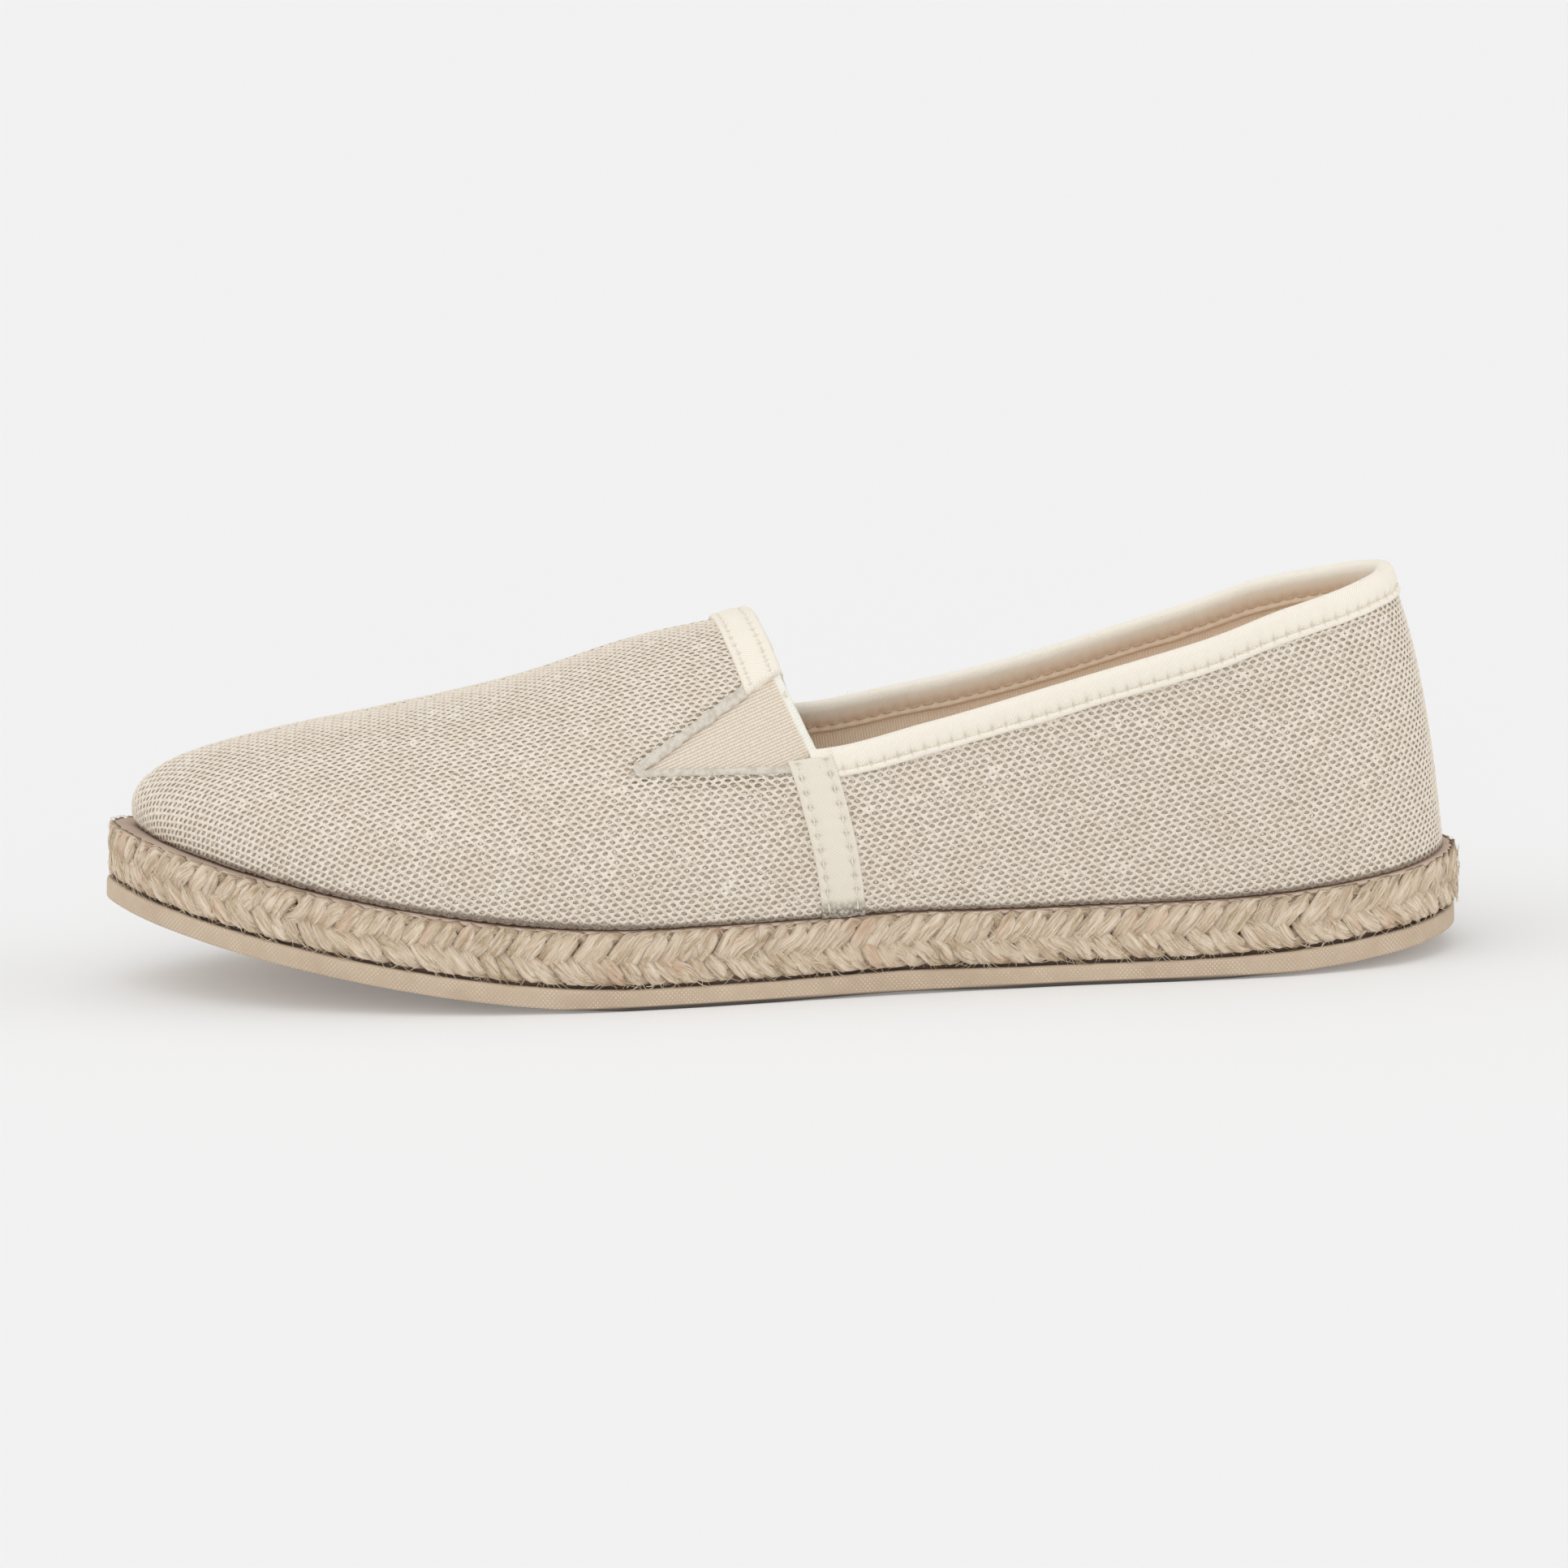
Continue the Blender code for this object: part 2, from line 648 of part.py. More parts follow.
def over_edge(side_share, climb, down, out, way):
    """World point at a distance down from an edge of the upper, or past the edge when that is negative.

    way is the unit step of (side share, climb) that leads down from the edge.
    """
    across, upward = along(side_share, climb)
    lead = across * np.asarray(way[0])[..., None] + upward * np.asarray(way[1])[..., None]
    stretch = np.linalg.norm(lead, axis=-1) / MM
    inside, past = np.maximum(down, 0.0), np.maximum(-down, 0.0)
    point = off_upper(side_share + way[0] * inside / stretch, climb + way[1] * inside / stretch, out)
    return point - unit(lead) * past * MM


def add_collar_binding(collection):
    """The tape round the collar, from one side strip to the other."""
    stretch = np.linalg.norm(along(THROAT_SHARE, 0.4)[0]) / MM
    end = THROAT_SHARE - (STRIP_WIDTH / 2 + GAP) / stretch
    shares = np.linspace(-end, end, BINDING_COLUMNS)
    climbs = collar_climb(shares)
    leaves = [over_edge(shares, climbs, down, out, (0.0, -1.0)) for down, out in tape_section(BINDING_DROP)]
    add_shell("collar_binding", [np.stack(leaves, axis=1)], TAPE, "collar_binding", collection)


def add_vamp_tab(collection, notches):
    """The tape over the throat edge, whose lower ends are cut along the notches' upper lines."""
    turns = np.linspace(MEDIAL, LATERAL, TAB_COLUMNS)
    side = np.where(turns < 0, LATERAL, MEDIAL)
    climb = 1.0 - np.abs(turns) * (1.0 - TAB_END)
    leaves = [
        over_edge(side * THROAT_SHARE, climb, down, out, (side, 0.0 * side))
        for down, out in tape_section(TAB_DEPTH)
    ]
    tab = add_shell("vamp_tab", [np.stack(leaves, axis=1)], TAPE, "vamp_tab", collection)
    for notch in notches.values():
        add_boolean(tab, notch, "DIFFERENCE")


def add_side_strip(name, side, collection):
    """The tape over a side seam, from the sole's rim up to the throat's corner."""
    seam = side * THROAT_SHARE
    climbs = np.linspace(0.0, 1.0, FINE_STEPS)
    heights = upper_point(seam, climbs)[:, 2]
    climbs = np.interp(np.linspace(STRIP_FOOT, STRIP_TOP, STRIP_ROWS), heights, climbs)
    stretch = np.linalg.norm(along(seam, climbs)[0], axis=-1) / MM
    places = STRIP_WIDTH * np.linspace(-0.5, 0.5, 5)
    rows = [off_upper(seam + place / stretch, climbs, GAP) for place in places]
    add_shell(name, [np.array(rows)], TAPE, "side_strip", collection)


# ---------------------------------------------------------------- the shoe


def build():
    clear_scene()
    shoe = new_collection("slip_on_espadrille")
    cutters = new_collection("cutters")
    cutters.hide_render = True
    notches = {
        side: add_cutter(f"notch_{side_name}", notch_rings(side), cutters)
        for side_name, side in (("lateral", LATERAL), ("medial", MEDIAL))
    }
    add_outsole(shoe, cutters)
    add_midsole(shoe)
    add_braid(shoe)
    add_insole(shoe)
    add_upper(shoe, notches)
    add_collar_binding(shoe)
    add_vamp_tab(shoe, notches)
    for side_name, side in (("lateral", LATERAL), ("medial", MEDIAL)):
        add_gore(f"gore_{side_name}", side, shoe, cutters)
        add_side_strip(f"side_strip_{side_name}", side, shoe)


build()
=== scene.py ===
"""Looks for the slip-on espadrille: cloth, tape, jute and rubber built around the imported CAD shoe.

Tables and sizes are in millimetres, and a point is (station, across, height), as in the part's
own source: station runs from the heel end to the toe end, across is positive towards the inner
side of the foot, and height is above the floor. to_world turns such a point into metres.

The upper is one surface, upper_point(side share, climb). The side share runs from 0 at the back
of the heel to 1 at the toe along the medial side, and from 0 to -1 along the lateral side. The
climb runs from 0 at the sole to 1 at the ridge. Cloth, tapes and stitches all lie on it.
"""

import math

import bmesh
import bpy
import numpy as np
from mathutils import Matrix, Vector
from mathutils.bvhtree import BVHTree


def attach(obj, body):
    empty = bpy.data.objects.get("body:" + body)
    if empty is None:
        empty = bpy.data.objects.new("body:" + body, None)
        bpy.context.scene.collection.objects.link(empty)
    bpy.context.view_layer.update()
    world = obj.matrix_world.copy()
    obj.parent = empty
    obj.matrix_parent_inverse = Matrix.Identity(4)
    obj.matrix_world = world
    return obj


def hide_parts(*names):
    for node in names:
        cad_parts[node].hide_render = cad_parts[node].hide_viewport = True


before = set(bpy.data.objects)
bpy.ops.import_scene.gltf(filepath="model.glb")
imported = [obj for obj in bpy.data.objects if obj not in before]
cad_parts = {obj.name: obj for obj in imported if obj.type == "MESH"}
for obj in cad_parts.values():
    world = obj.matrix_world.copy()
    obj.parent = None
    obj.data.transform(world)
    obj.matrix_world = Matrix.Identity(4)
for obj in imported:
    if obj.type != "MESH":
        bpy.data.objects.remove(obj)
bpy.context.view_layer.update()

MM = 0.001

# -------- the CAD shoe's own sizes

LENGTH = 261.0
BALL_WIDTH = 86.0
INSTEP_HEIGHT = 68.4
HEEL_HEIGHT = 73.0
TOE_SPRING = 17.3
CENTRE_ACROSS = 1.2
LATERAL, MEDIAL = -1.0, 1.0

# The sole: how far its foot draws in at the heel and over what share of a side, then its layers' tops
HEEL_TUCK = 1.3
HEEL_TUCK_SHARE = 0.13
BRAID_TOP = 13.9
SOLE_TOP = 14.9
# Its underside: the lift of the heel's end, the stations of its two flat spots, and the arch between
HEEL_ROCKER = 4.6
HEEL_FLAT = (58.0, 86.0)
BALL_FLAT = (132.0, 160.0)
ARCH_RISE = 0.6
SPRING_POWER = 1.5
TOE_LEAN = 0.06

# The upper's wall and its gap to the sole, then where the throat and the side strips are
WALL = 1.6
GAP = 0.3
STRIP_WIDTH = 8.2
THROAT_SHARE = 0.4585
STRIP_FOOT, STRIP_TOP = 15.5, 44.6

# The sole's outline: stations as shares of the length, distances to the sides as shares of the ball's
# width
OUTLINE = {
    "columns": ("station", "lateral", "medial"),
    "rows": (
        (0.012, 0.145, 0.145), (0.046, 0.262, 0.262), (0.116, 0.343, 0.337), (0.193, 0.366, 0.355),
        (0.290, 0.372, 0.337), (0.386, 0.395, 0.320), (0.483, 0.430, 0.349), (0.579, 0.472, 0.424),
        (0.656, 0.486, 0.488), (0.734, 0.471, 0.514), (0.811, 0.419, 0.486), (0.888, 0.326, 0.401),
        (0.946, 0.209, 0.285), (0.981, 0.093, 0.169),
    ),
}
TOE_TIP_ACROSS = 0.041
OUTLINE_STEPS = 40

# The upper's ribs, each a cubic curve from the sole's edge to the ridge: how far inside the edge it
# starts, how it swells, leans and rises there, how far it reaches out and sweeps at the ridge, and the
# ridge's station and height as shares of the length and of the instep's height
RIBS = {
    "columns": (
        "share", "medial_ahead", "ledge", "swell", "lean", "rise",
        "reach", "sweep", "fan", "station", "across", "height",
    ),
    "rows": (
        (0.00, 0.000, 3.2, -2.2, 0.00, 0.40, 0.77, 0.0, 1.0, 0.124, 0.0, 1.328),
        (0.08, 0.000, 2.8, -0.6, 0.00, 0.38, 0.78, 0.0, 1.0, 0.140, 0.0, 1.328),
        (0.17, 0.004, 2.3, 2.2, 0.00, 0.33, 0.87, 0.0, 0.5, 0.190, 0.5, 1.318),
        (0.28, 0.014, 1.9, 4.0, 0.00, 0.30, 0.76, 0.0, 0.0, 0.310, 1.0, 1.268),
        (0.38, 0.022, 1.7, 4.2, 0.03, 0.32, 0.64, -1.5, 0.0, 0.430, 2.0, 1.177),
        (THROAT_SHARE, 0.024, 1.7, 4.6, 0.02, 0.40, 0.64, -3.0, 0.0, 0.519, 3.0, 1.000),
        (0.54, 0.024, 1.8, 4.2, 0.03, 0.44, 0.60, -1.5, 0.0, 0.600, 3.5, 0.936),
        (0.65, 0.018, 2.1, 3.6, 0.00, 0.48, 0.58, 0.0, 0.0, 0.700, 4.0, 0.825),
        (0.76, 0.010, 2.6, 3.2, 0.00, 0.50, 0.58, 0.0, 0.1, 0.790, 4.0, 0.757),
        (0.87, 0.004, 3.8, 3.2, 0.00, 0.52, 0.58, 0.0, 0.5, 0.862, 4.0, 0.711),
        (0.94, 0.000, 4.8, 3.4, 0.00, 0.54, 0.60, 0.0, 0.9, 0.895, 3.8, 0.687),
        (1.00, 0.000, 5.5, 3.4, 0.00, 0.55, 0.62, 0.0, 1.0, 0.908, 3.6, 0.677),
    ),
}

# The collar's raw edge: its height as a share of the heel's, and how much lower it is medially
COLLAR = {
    "columns": ("share", "height", "medial_drop"),
    "rows": (
        (0.00, 1.006, 0.0), (0.06, 0.992, 0.0), (0.14, 0.940, 0.1), (0.21, 0.858, 0.6),
        (0.30, 0.762, 1.4), (0.38, 0.684, 0.6), (THROAT_SHARE, 0.628, 0.0),
    ),
}

# The notch for the elastic gore, seen from the side: its apex, its two lines' far ends
NOTCH_APEX = (157.3, 43.6)
NOTCH_LOW = (122.0, 43.2)
NOTCH_HIGH = (116.0, 68.4)
FINE_STEPS = 200
CREASE_FADE = 0.7

# -------- sizes of the detail, in millimetres

# Mesh cloth: elliptical holes in staggered rows, a share of them nearly filled. The shade above the sole
# fades over a height. Distances off the upper's face: web, lip and the hole's inner end
HOLE_PITCH = 1.80
ROW_SPACING = 0.975
HOLE_ACROSS, HOLE_UP = 0.63, 0.34
HOLE_TILT = math.radians(-9)
HOLES_FILLED = 0.025
FOOT_SHADE = 1.3
WEB_CREST, WEB_LIP, WEB_BACK = 0.16, 0.02, -0.14
WEB_DIMPLE = 0.12
HOLE_SIDES = 8
# Its unevenness: spreads of the holes' size, place and tilt and of the web's height, filled holes' sizes
SIZE_SPREAD, PLACE_SPREAD, TILT_SPREAD, CREST_SPREAD = 0.06, 0.045, 0.15, 0.03
FILLED_SIZES = (0.4, 0.8)
NET_OUT = 0.05
VAMP_GRID, QUARTER_GRID = (61, 81), (91, 25)
LINING_OUT = -0.17

# Soft creases: the side, the two ends in the side view, how far the cloth stands out, half width
CREASES = (
    (LATERAL, (160.0, 43.0), (172.0, 40.0), -0.35, 2.6),
    (LATERAL, (158.0, 41.0), (168.0, 33.0), 0.30, 3.0),
    (LATERAL, (159.0, 46.5), (176.0, 46.0), 0.30, 3.0),
    (LATERAL, (128.0, 37.0), (150.0, 30.0), -0.30, 4.0),
    (LATERAL, (182.0, 20.0), (214.0, 24.0), 0.30, 5.0),
    (LATERAL, (60.0, 30.0), (98.0, 22.0), -0.30, 6.0),
    (LATERAL, (24.0, 24.0), (40.0, 50.0), 0.35, 6.0),
    (MEDIAL, (160.0, 43.0), (172.0, 39.0), -0.35, 2.8),
    (MEDIAL, (157.0, 41.0), (166.0, 32.0), 0.30, 3.0),
    (MEDIAL, (126.0, 36.0), (148.0, 28.0), -0.30, 4.0),
    (MEDIAL, (66.0, 28.0), (104.0, 20.0), -0.30, 6.0),
)

# Stitches: the thread's radius, and how far its ends sink in
STITCH_PITCH, STITCH_STEPS, STITCH_SIDES = 2.65, 6, 6
STITCH_RADIUS, STITCH_SINK = 0.19, 0.26
# How deep the stitches pull each tape in
BINDING_GROOVE, TAB_GROOVE, STRIP_GROOVE, BAR_GROOVE = 0.26, 0.14, 0.22, 0.20

# Tape sections: distance down from the edge or beside the middle, distance out, pull of the stitches
TAPE_STEP = 0.35
BINDING_SECTION = (
    (5.30, -0.10, 0.0), (5.42, 0.45, 0.0), (5.28, 0.80, 0.1), (4.90, 0.94, 0.2), (4.50, 0.84, 0.6),
    (4.15, 0.62, 1.0), (3.80, 0.60, 1.0), (3.45, 0.80, 0.6), (2.90, 0.98, 0.3), (2.10, 1.04, 0.1),
    (1.30, 1.05, 0.0), (0.70, 1.00, 0.0), (0.20, 0.82, 0.0), (-0.40, 0.42, 0.0), (-0.75, -0.10, 0.0),
    (-0.85, -0.80, 0.0), (-0.75, -1.50, 0.0), (-0.40, -2.05, 0.0), (0.25, -2.42, 0.0), (0.80, -2.60, 0.0),
    (2.30, -2.62, 0.1), (3.40, -2.52, 0.4), (3.90, -2.34, 1.0), (4.20, -2.34, 1.0), (4.60, -2.52, 0.5),
    (5.20, -2.46, 0.1), (5.40, -2.10, 0.0), (5.30, -1.50, 0.0),
)
# The collar tape stops short of the strips and lies flatter under them; it sags along its length
COLLAR_END_GAP, COLLAR_SAMPLES = 0.2, 300
BINDING_END_SQUASH = 0.4
BINDING_SAG, BINDING_RIPPLE = 0.10, 0.05
BINDING_MIDDLE = -1.0
BINDING_STITCH_DOWN = 4.0
# Its stitch rows: name, which way they face, distance out, thread and the thread's radius
# The inside row's thread is the cream thread tinted tan: painted bounce light and shade, as on the tape's
# inside face
COLLAR_STITCHES = (("outside", 1, 0.55, "thread", STITCH_RADIUS), ("inside", -1, -2.3, "shaded_inside_thread", 0.12))
DOWN_RIB = (0.0, -1.0)

# The fibres along the collar's fold: how many, their greatest length and their radius
COLLAR_FUZZ, FUZZ_LENGTH, FUZZ_RADIUS = 700, 0.5, 0.035

TAB_TURNS = np.concatenate([np.linspace(0.0, 0.94, 70), np.linspace(0.95, 1.0, 12)])
TAB_SECTION = (
    (7.20, -0.10, 0.0), (7.35, 0.50, 0.0), (7.15, 0.98, 0.0), (6.70, 1.16, 0.2), (6.20, 1.00, 0.7),
    (5.90, 0.84, 1.0), (5.60, 1.00, 0.7), (5.00, 1.20, 0.2), (3.60, 1.28, 0.0), (2.20, 1.20, 0.2),
    (1.60, 1.00, 0.7), (1.30, 0.84, 1.0), (1.00, 1.00, 0.7), (0.40, 1.10, 0.2), (-0.30, 0.80, 0.0),
    (-0.75, 0.20, 0.0), (-0.90, -0.80, 0.0), (-0.75, -1.60, 0.0), (-0.30, -2.20, 0.0), (0.60, -2.50, 0.0),
    (3.60, -2.55, 0.0), (6.80, -2.45, 0.0), (7.20, -2.00, 0.0), (7.20, -1.40, 0.0),
)
TAB_OUT = 0.80
TAB_SHIFT = {LATERAL: -0.3, MEDIAL: 1.0}
TAB_OVERHANG = -0.5
TAB_END_ROUND = 0.035
TAB_LENGTH = 58.0
TAB_STITCHES = 21
TAB_DOWNS = (0.0, 1.3, 3.6, 5.9, 7.2)
# Its stitch rows: name and distance down, and the share of the way to each end that they take up
TAB_ROWS = (("rear", 1.3), ("front", 5.9))
TAB_STITCHED = 0.95

STRIP_PITCH = 2.6
STRIP_HALF = (
    (4.10, 0.05, 0.0), (4.20, 0.50, 0.0), (4.00, 0.92, 0.0), (3.60, 1.02, 0.3),
    (3.10, 0.82, 0.8), (2.75, 0.66, 1.0), (2.40, 0.78, 0.8), (1.70, 0.92, 0.2),
)
STRIP_SECTION = (
    *((-beside, out, held) for beside, out, held in STRIP_HALF),
    (0.00, 0.96, 0.0),
    *STRIP_HALF[::-1],
    (0.00, 0.05, 0.0),
)
STRIP_SPARE = 0.3
STRIP_STITCH_OUT = 0.62
STRIP_BAR_OUT = 0.68
STRIP_ROWS = (("rear", -2.75), ("front", 2.75))
# Its cross row of stitches, and how high the darkening at its foot reaches and fades
STRIP_BAR_DOWN, STRIP_BAR_LENGTH, STRIP_BAR_WIDTH = 1.6, 5.2, 0.35
DARK_FOOT_TOP, DARK_FOOT_FADE = 3.6, 2.4

# Gores: they run on under the mesh's turned edges, and end in a free edge near the throat's own.
# The apex in the side view, then the free edge's ends: height, and distance in front of the throat
GORE_APEX = (161.5, 42.6)
GORE_LOW = (41.2, -2.6)
GORE_HIGH = (61.5, -0.3)
GORE_OUT, GORE_THICK, GORE_PUFF = -0.3, 0.4, 0.25
GORE_START, GORE_GRID = 0.02, (61, 41)
UNDER_GORE = 0.65
SELVEDGE = 0.962
ELASTIC_SLANT = -20.0
NOTCH_HIGH_END = (135.4, 57.0)
# Turned mesh edges: line in the side view, width, height, shift off the line, seed of the unevenness
TURNED_EDGES = {
    "upper": ((NOTCH_APEX, NOTCH_HIGH_END), 2.4, 0.5, 0.2, 31),
    "lower": ((NOTCH_APEX, NOTCH_LOW), 1.5, 0.42, -0.3, 41),
}
EDGE_STEPS, EDGE_SIDES = 110, 14
# Unevenness of a turned edge's width, height and skin
EDGE_UNEVEN = (0.16, 0.20, 0.10)
# Stitch rows: line in the side view, distance beside it, pitch
NOTCH_STITCHES = {
    "upper": ((NOTCH_APEX, NOTCH_HIGH_END), 1.9, 2.0),
    "lower": (((153.0, 42.3), (128.6, 42.0)), 0.0, 1.5),
    "seam": (((151.0, 40.8), (128.6, 40.4)), 0.0, 2.2),
}

# Jute braid: a flat plait. Widths and thicknesses are those of a strand under and over another
BRAID_STRANDS = 5
BRAID_REPEATS = 36
BRAID_CENTRES = (5.5, 14.1)
BRAID_LEAN = 1.2
TURN_SHARPNESS = 0.985
BRAID_WEAVE = 0.32
BRAID_WIDTH = (2.5, 3.2)
BRAID_LIMITS = (4.65, 14.85)
BRAID_THICK = (1.0, 1.05)
BRAID_INSET = 1.15
BRAID_STEP = 0.8
BRAID_SIDES = 24
# How far a strand strays along the sole, up and out
STRAND_STRAY = (0.9, 0.35, 0.12)
# Loose fibres: name, count, lengths, how far they rise, seed, and heights where not a strand's own
HAIRS = (
    ("jute_hairs", 5200, (1.5, 5.0), (0.1, 0.6), 71, None),
    ("jute_fringe", 320, (0.8, 2.2), (-0.2, 0.5), 72, (4.6, 5.6)),
)
HAIR_STEPS = 5
HAIR_RADII = (0.05, 0.09)
HAIR_LIMITS = (3.9, BRAID_TOP + 0.9)
HAIR_FARTHEST = 1.5

# Rings round the sole: distance outside its outline, and height in it, walked upwards outside
RIM_PROFILE = (
    (-2.4, 13.9), (-1.8, 13.95), (-1.4, 14.1), (-1.25, 14.35), (-1.35, 14.6),
    (-1.6, 14.75), (-2.1, 14.8), (-4.0, 14.8), (-8.0, 14.95), (-8.0, 13.7),
)
RECESS_PROFILE = ((-2.2, 3.3), (-2.2, 7.0), (-5.0, 7.0), (-5.0, 3.3))
BACKING_PROFILE = ((-2.9, 4.6), (-2.6, 6.0), (-2.6, 12.0), (-2.7, 13.9), (-5.0, 13.9), (-5.0, 4.6))
BAND_PROFILE = (
    (-0.3, 0.04), (0.06, 0.08), (0.1, 0.35), (0.1, 0.65), (0.1, 1.0), (0.1, 3.1),
    (-0.05, 3.6), (-0.35, 3.85), (-0.9, 3.9), (-3.2, 3.9), (-3.2, 0.5),
)
RING_STEP = 1.0
# Painted contact shadow: the rubber darkens near the floor. The height where that starts, and the height over
# which it does
CONTACT_SHADE_FROM, CONTACT_SHADE_OVER = 1.0, 0.35
DOT_PITCH, DOT_ROWS = 0.85, 0.48

SIDE_NAMES = (("lateral", LATERAL), ("medial", MEDIAL))

# The photograph's view of the shoe: degrees, and metres
VIEW_ELEVATION, VIEW_ROLL = 10.0, 2.0
VIEW_TARGET = (0.001, 0.0, 0.0347)
VIEW_DISTANCE, VIEW_WIDTH = 1.3, 0.302
SENSOR = 36.0

# Light: name, azimuth and elevation in degrees, irradiance, angular size in degrees
WORLD_STRENGTH = 0.5
SUNS = (
    ("key", 40.0, 55.0, 0.60, 60.0),
    ("front", 0.0, 15.0, 0.50, 24.0),
    ("fill", -60.0, 45.0, 0.45, 90.0),
    ("back", 130.0, 65.0, 0.50, 90.0),
    ("toe", 86.0, 15.0, 0.50, 40.0),
    ("heel", -86.0, 15.0, 0.60, 40.0),
)
FLOOR_SIZE = 24.0
# The floor glows a little, which keeps the shadows on it light
FLOOR_COLOUR = (220, 220, 220)
FLOOR_GLOW = 0.14

# -------- the CAD shoe's own surfaces


def to_world(points):
    """Metres in the scene from millimetres of station, across and height."""
    points = np.asarray(points, float)
    station, across, height = points[..., 0], points[..., 1], points[..., 2]
    return np.stack([LENGTH / 2 - station, across - CENTRE_ACROSS, height], axis=-1) * MM


def column(table, name):
    return np.array([row[table["columns"].index(name)] for row in table["rows"]])


def smooth_value(table, name, key, at):
    """A column of a table at any key: a cubic through its rows that never overshoots, flat at both ends."""
    x, y = column(table, key), column(table, name)
    steps = np.diff(y) / np.diff(x)
    slopes = np.zeros(len(x))
    for i in range(1, len(x) - 1):
        before, after = steps[i - 1], steps[i]
        if before * after > 0:
            slopes[i] = 2 * before * after / (before + after)
    at = np.clip(at, x[0], x[-1])
    i = np.clip(np.searchsorted(x, at, side="right") - 1, 0, len(x) - 2)
    width = x[i + 1] - x[i]
    return hermite(y[i], y[i + 1], width * slopes[i], width * slopes[i + 1], (at - x[i]) / width)


def hermite(first, last, start, end, part):
    """A cubic from first to last, with the given changes per whole span at its ends."""
    rest = 1 - part
    ends = first * (1 + 2 * part) * rest**2 + last * (1 + 2 * rest) * part**2
    return ends + start * part * rest**2 - end * part**2 * rest


def closed_curve(points, steps):
    """A smooth closed curve through the points: centripetal Catmull-Rom, as cubic Hermite spans."""
    points = np.asarray(points, float)
    made = []
    for i in range(len(points)):
        a, b, c, d = (points[(i + k) % len(points)] for k in (-1, 0, 1, 2))
        ab, bc, cd = (math.dist(*pair) ** 0.5 for pair in ((a, b), (b, c), (c, d)))
        start = bc * ((b - a) / ab - (c - a) / (ab + bc) + (c - b) / bc)
        end = bc * ((c - b) / bc - (d - b) / (bc + cd) + (d - c) / cd)
        for part in np.arange(steps) / steps:
            made.append(hermite(b, c, start, end, part))
    return np.array(made)


def unit(vectors):
    return vectors / np.linalg.norm(vectors, axis=-1, keepdims=True)


def summed(steps):
    """Distances from the start, from the steps in between."""
    return np.concatenate([[0.0], np.cumsum(steps)])


def between(at, places, rows):
    """The rows at any places, changing evenly from one given place to the next."""
    return np.stack([np.interp(at, places, values) for values in rows.T], axis=-1)


def sole_outline():
    """Points and outward normals from the heel along the lateral side to the toe, and back to the heel."""
    stations = column(OUTLINE, "station") * LENGTH
    lateral = np.stack([stations, -column(OUTLINE, "lateral") * BALL_WIDTH], axis=1)
    medial = np.stack([stations, column(OUTLINE, "medial") * BALL_WIDTH], axis=1)
    heel, toe = [[0.0, 0.0]], [[LENGTH, TOE_TIP_ACROSS * BALL_WIDTH]]
    curve = closed_curve(np.concatenate([heel, lateral, toe, medial[::-1]]), OUTLINE_STEPS)
    ahead = np.roll(curve, -1, axis=0) - np.roll(curve, 1, axis=0)
    outward = unit(np.stack([ahead[:, 1], -ahead[:, 0]], axis=1))
    round_trip = np.arange(len(curve) + 1) % len(curve)
    return curve[round_trip], outward[round_trip]


def sole_side(start, end, step):
    """A side of the sole, heel to toe: shares of its length, points and outward normals."""
    points, outward = WALK_POINTS[start:end:step], WALK_OUT[start:end:step]
    walked = summed(np.linalg.norm(np.diff(points, axis=0), axis=1))
    return walked / walked[-1], points, outward


WALK_POINTS, WALK_OUT = sole_outline()
TOE_STEP = (len(OUTLINE["rows"]) + 1) * OUTLINE_STEPS
SIDES = {LATERAL: sole_side(0, TOE_STEP + 1, 1), MEDIAL: sole_side(None, TOE_STEP - 1, -1)}
WALK = summed(np.linalg.norm(np.diff(WALK_POINTS, axis=0), axis=1))
PERIMETER = WALK[-1]


def edge_point(side, share, inset=0.0):
    """Station and across of a point on the sole's outline or a distance inside it, and its normal."""
    shares, points, outward = SIDES[side]
    normal = unit(between(share, shares, outward))
    return between(share, shares, points) - np.asarray(inset)[..., None] * normal, normal


def bottom_curve(station):
    """The sole's underside: a heel rocker, two flat spots with a low arch between, and a toe spring."""
    rocker = HEEL_ROCKER * (np.clip(HEEL_FLAT[0] - station, 0, None) / HEEL_FLAT[0]) ** 2
    ahead = np.clip(station - BALL_FLAT[1], 0, None) / (LENGTH - BALL_FLAT[1])
    waist = np.clip((station - HEEL_FLAT[1]) / (BALL_FLAT[0] - HEEL_FLAT[1]), 0, 1)
    return rocker + TOE_SPRING * ahead**SPRING_POWER + ARCH_RISE * np.sin(np.pi * waist) ** 2


def bend_stations():
    """Where the underside bends. It is straight in between, which keeps the layers' faces flat."""
    bends = ((0.0, HEEL_FLAT[0], 5), (HEEL_FLAT[1], BALL_FLAT[0], 4), (BALL_FLAT[1], LENGTH, 9))
    return np.array([at for start, end, count in bends for at in np.linspace(start, end, count + 1)])


def on_sole(points):
    """Lays flat points over the underside. At the toe, the layers lean back as they go up."""
    station, across, height = np.moveaxis(np.asarray(points, float), -1, 0)
    ahead = np.clip(station - BALL_FLAT[1], 0, None) / (LENGTH - BALL_FLAT[1])
    floor = np.interp(station, bend_stations(), bottom_curve(bend_stations()))
    return np.stack([station - TOE_LEAN * ahead * height, across, floor + height], axis=-1)


def turned_from(first, second):
    """The signed area between flat vectors: above 0 where the second is to the left of the first."""
    return first[..., 0] * second[..., 1] - first[..., 1] * second[..., 0]


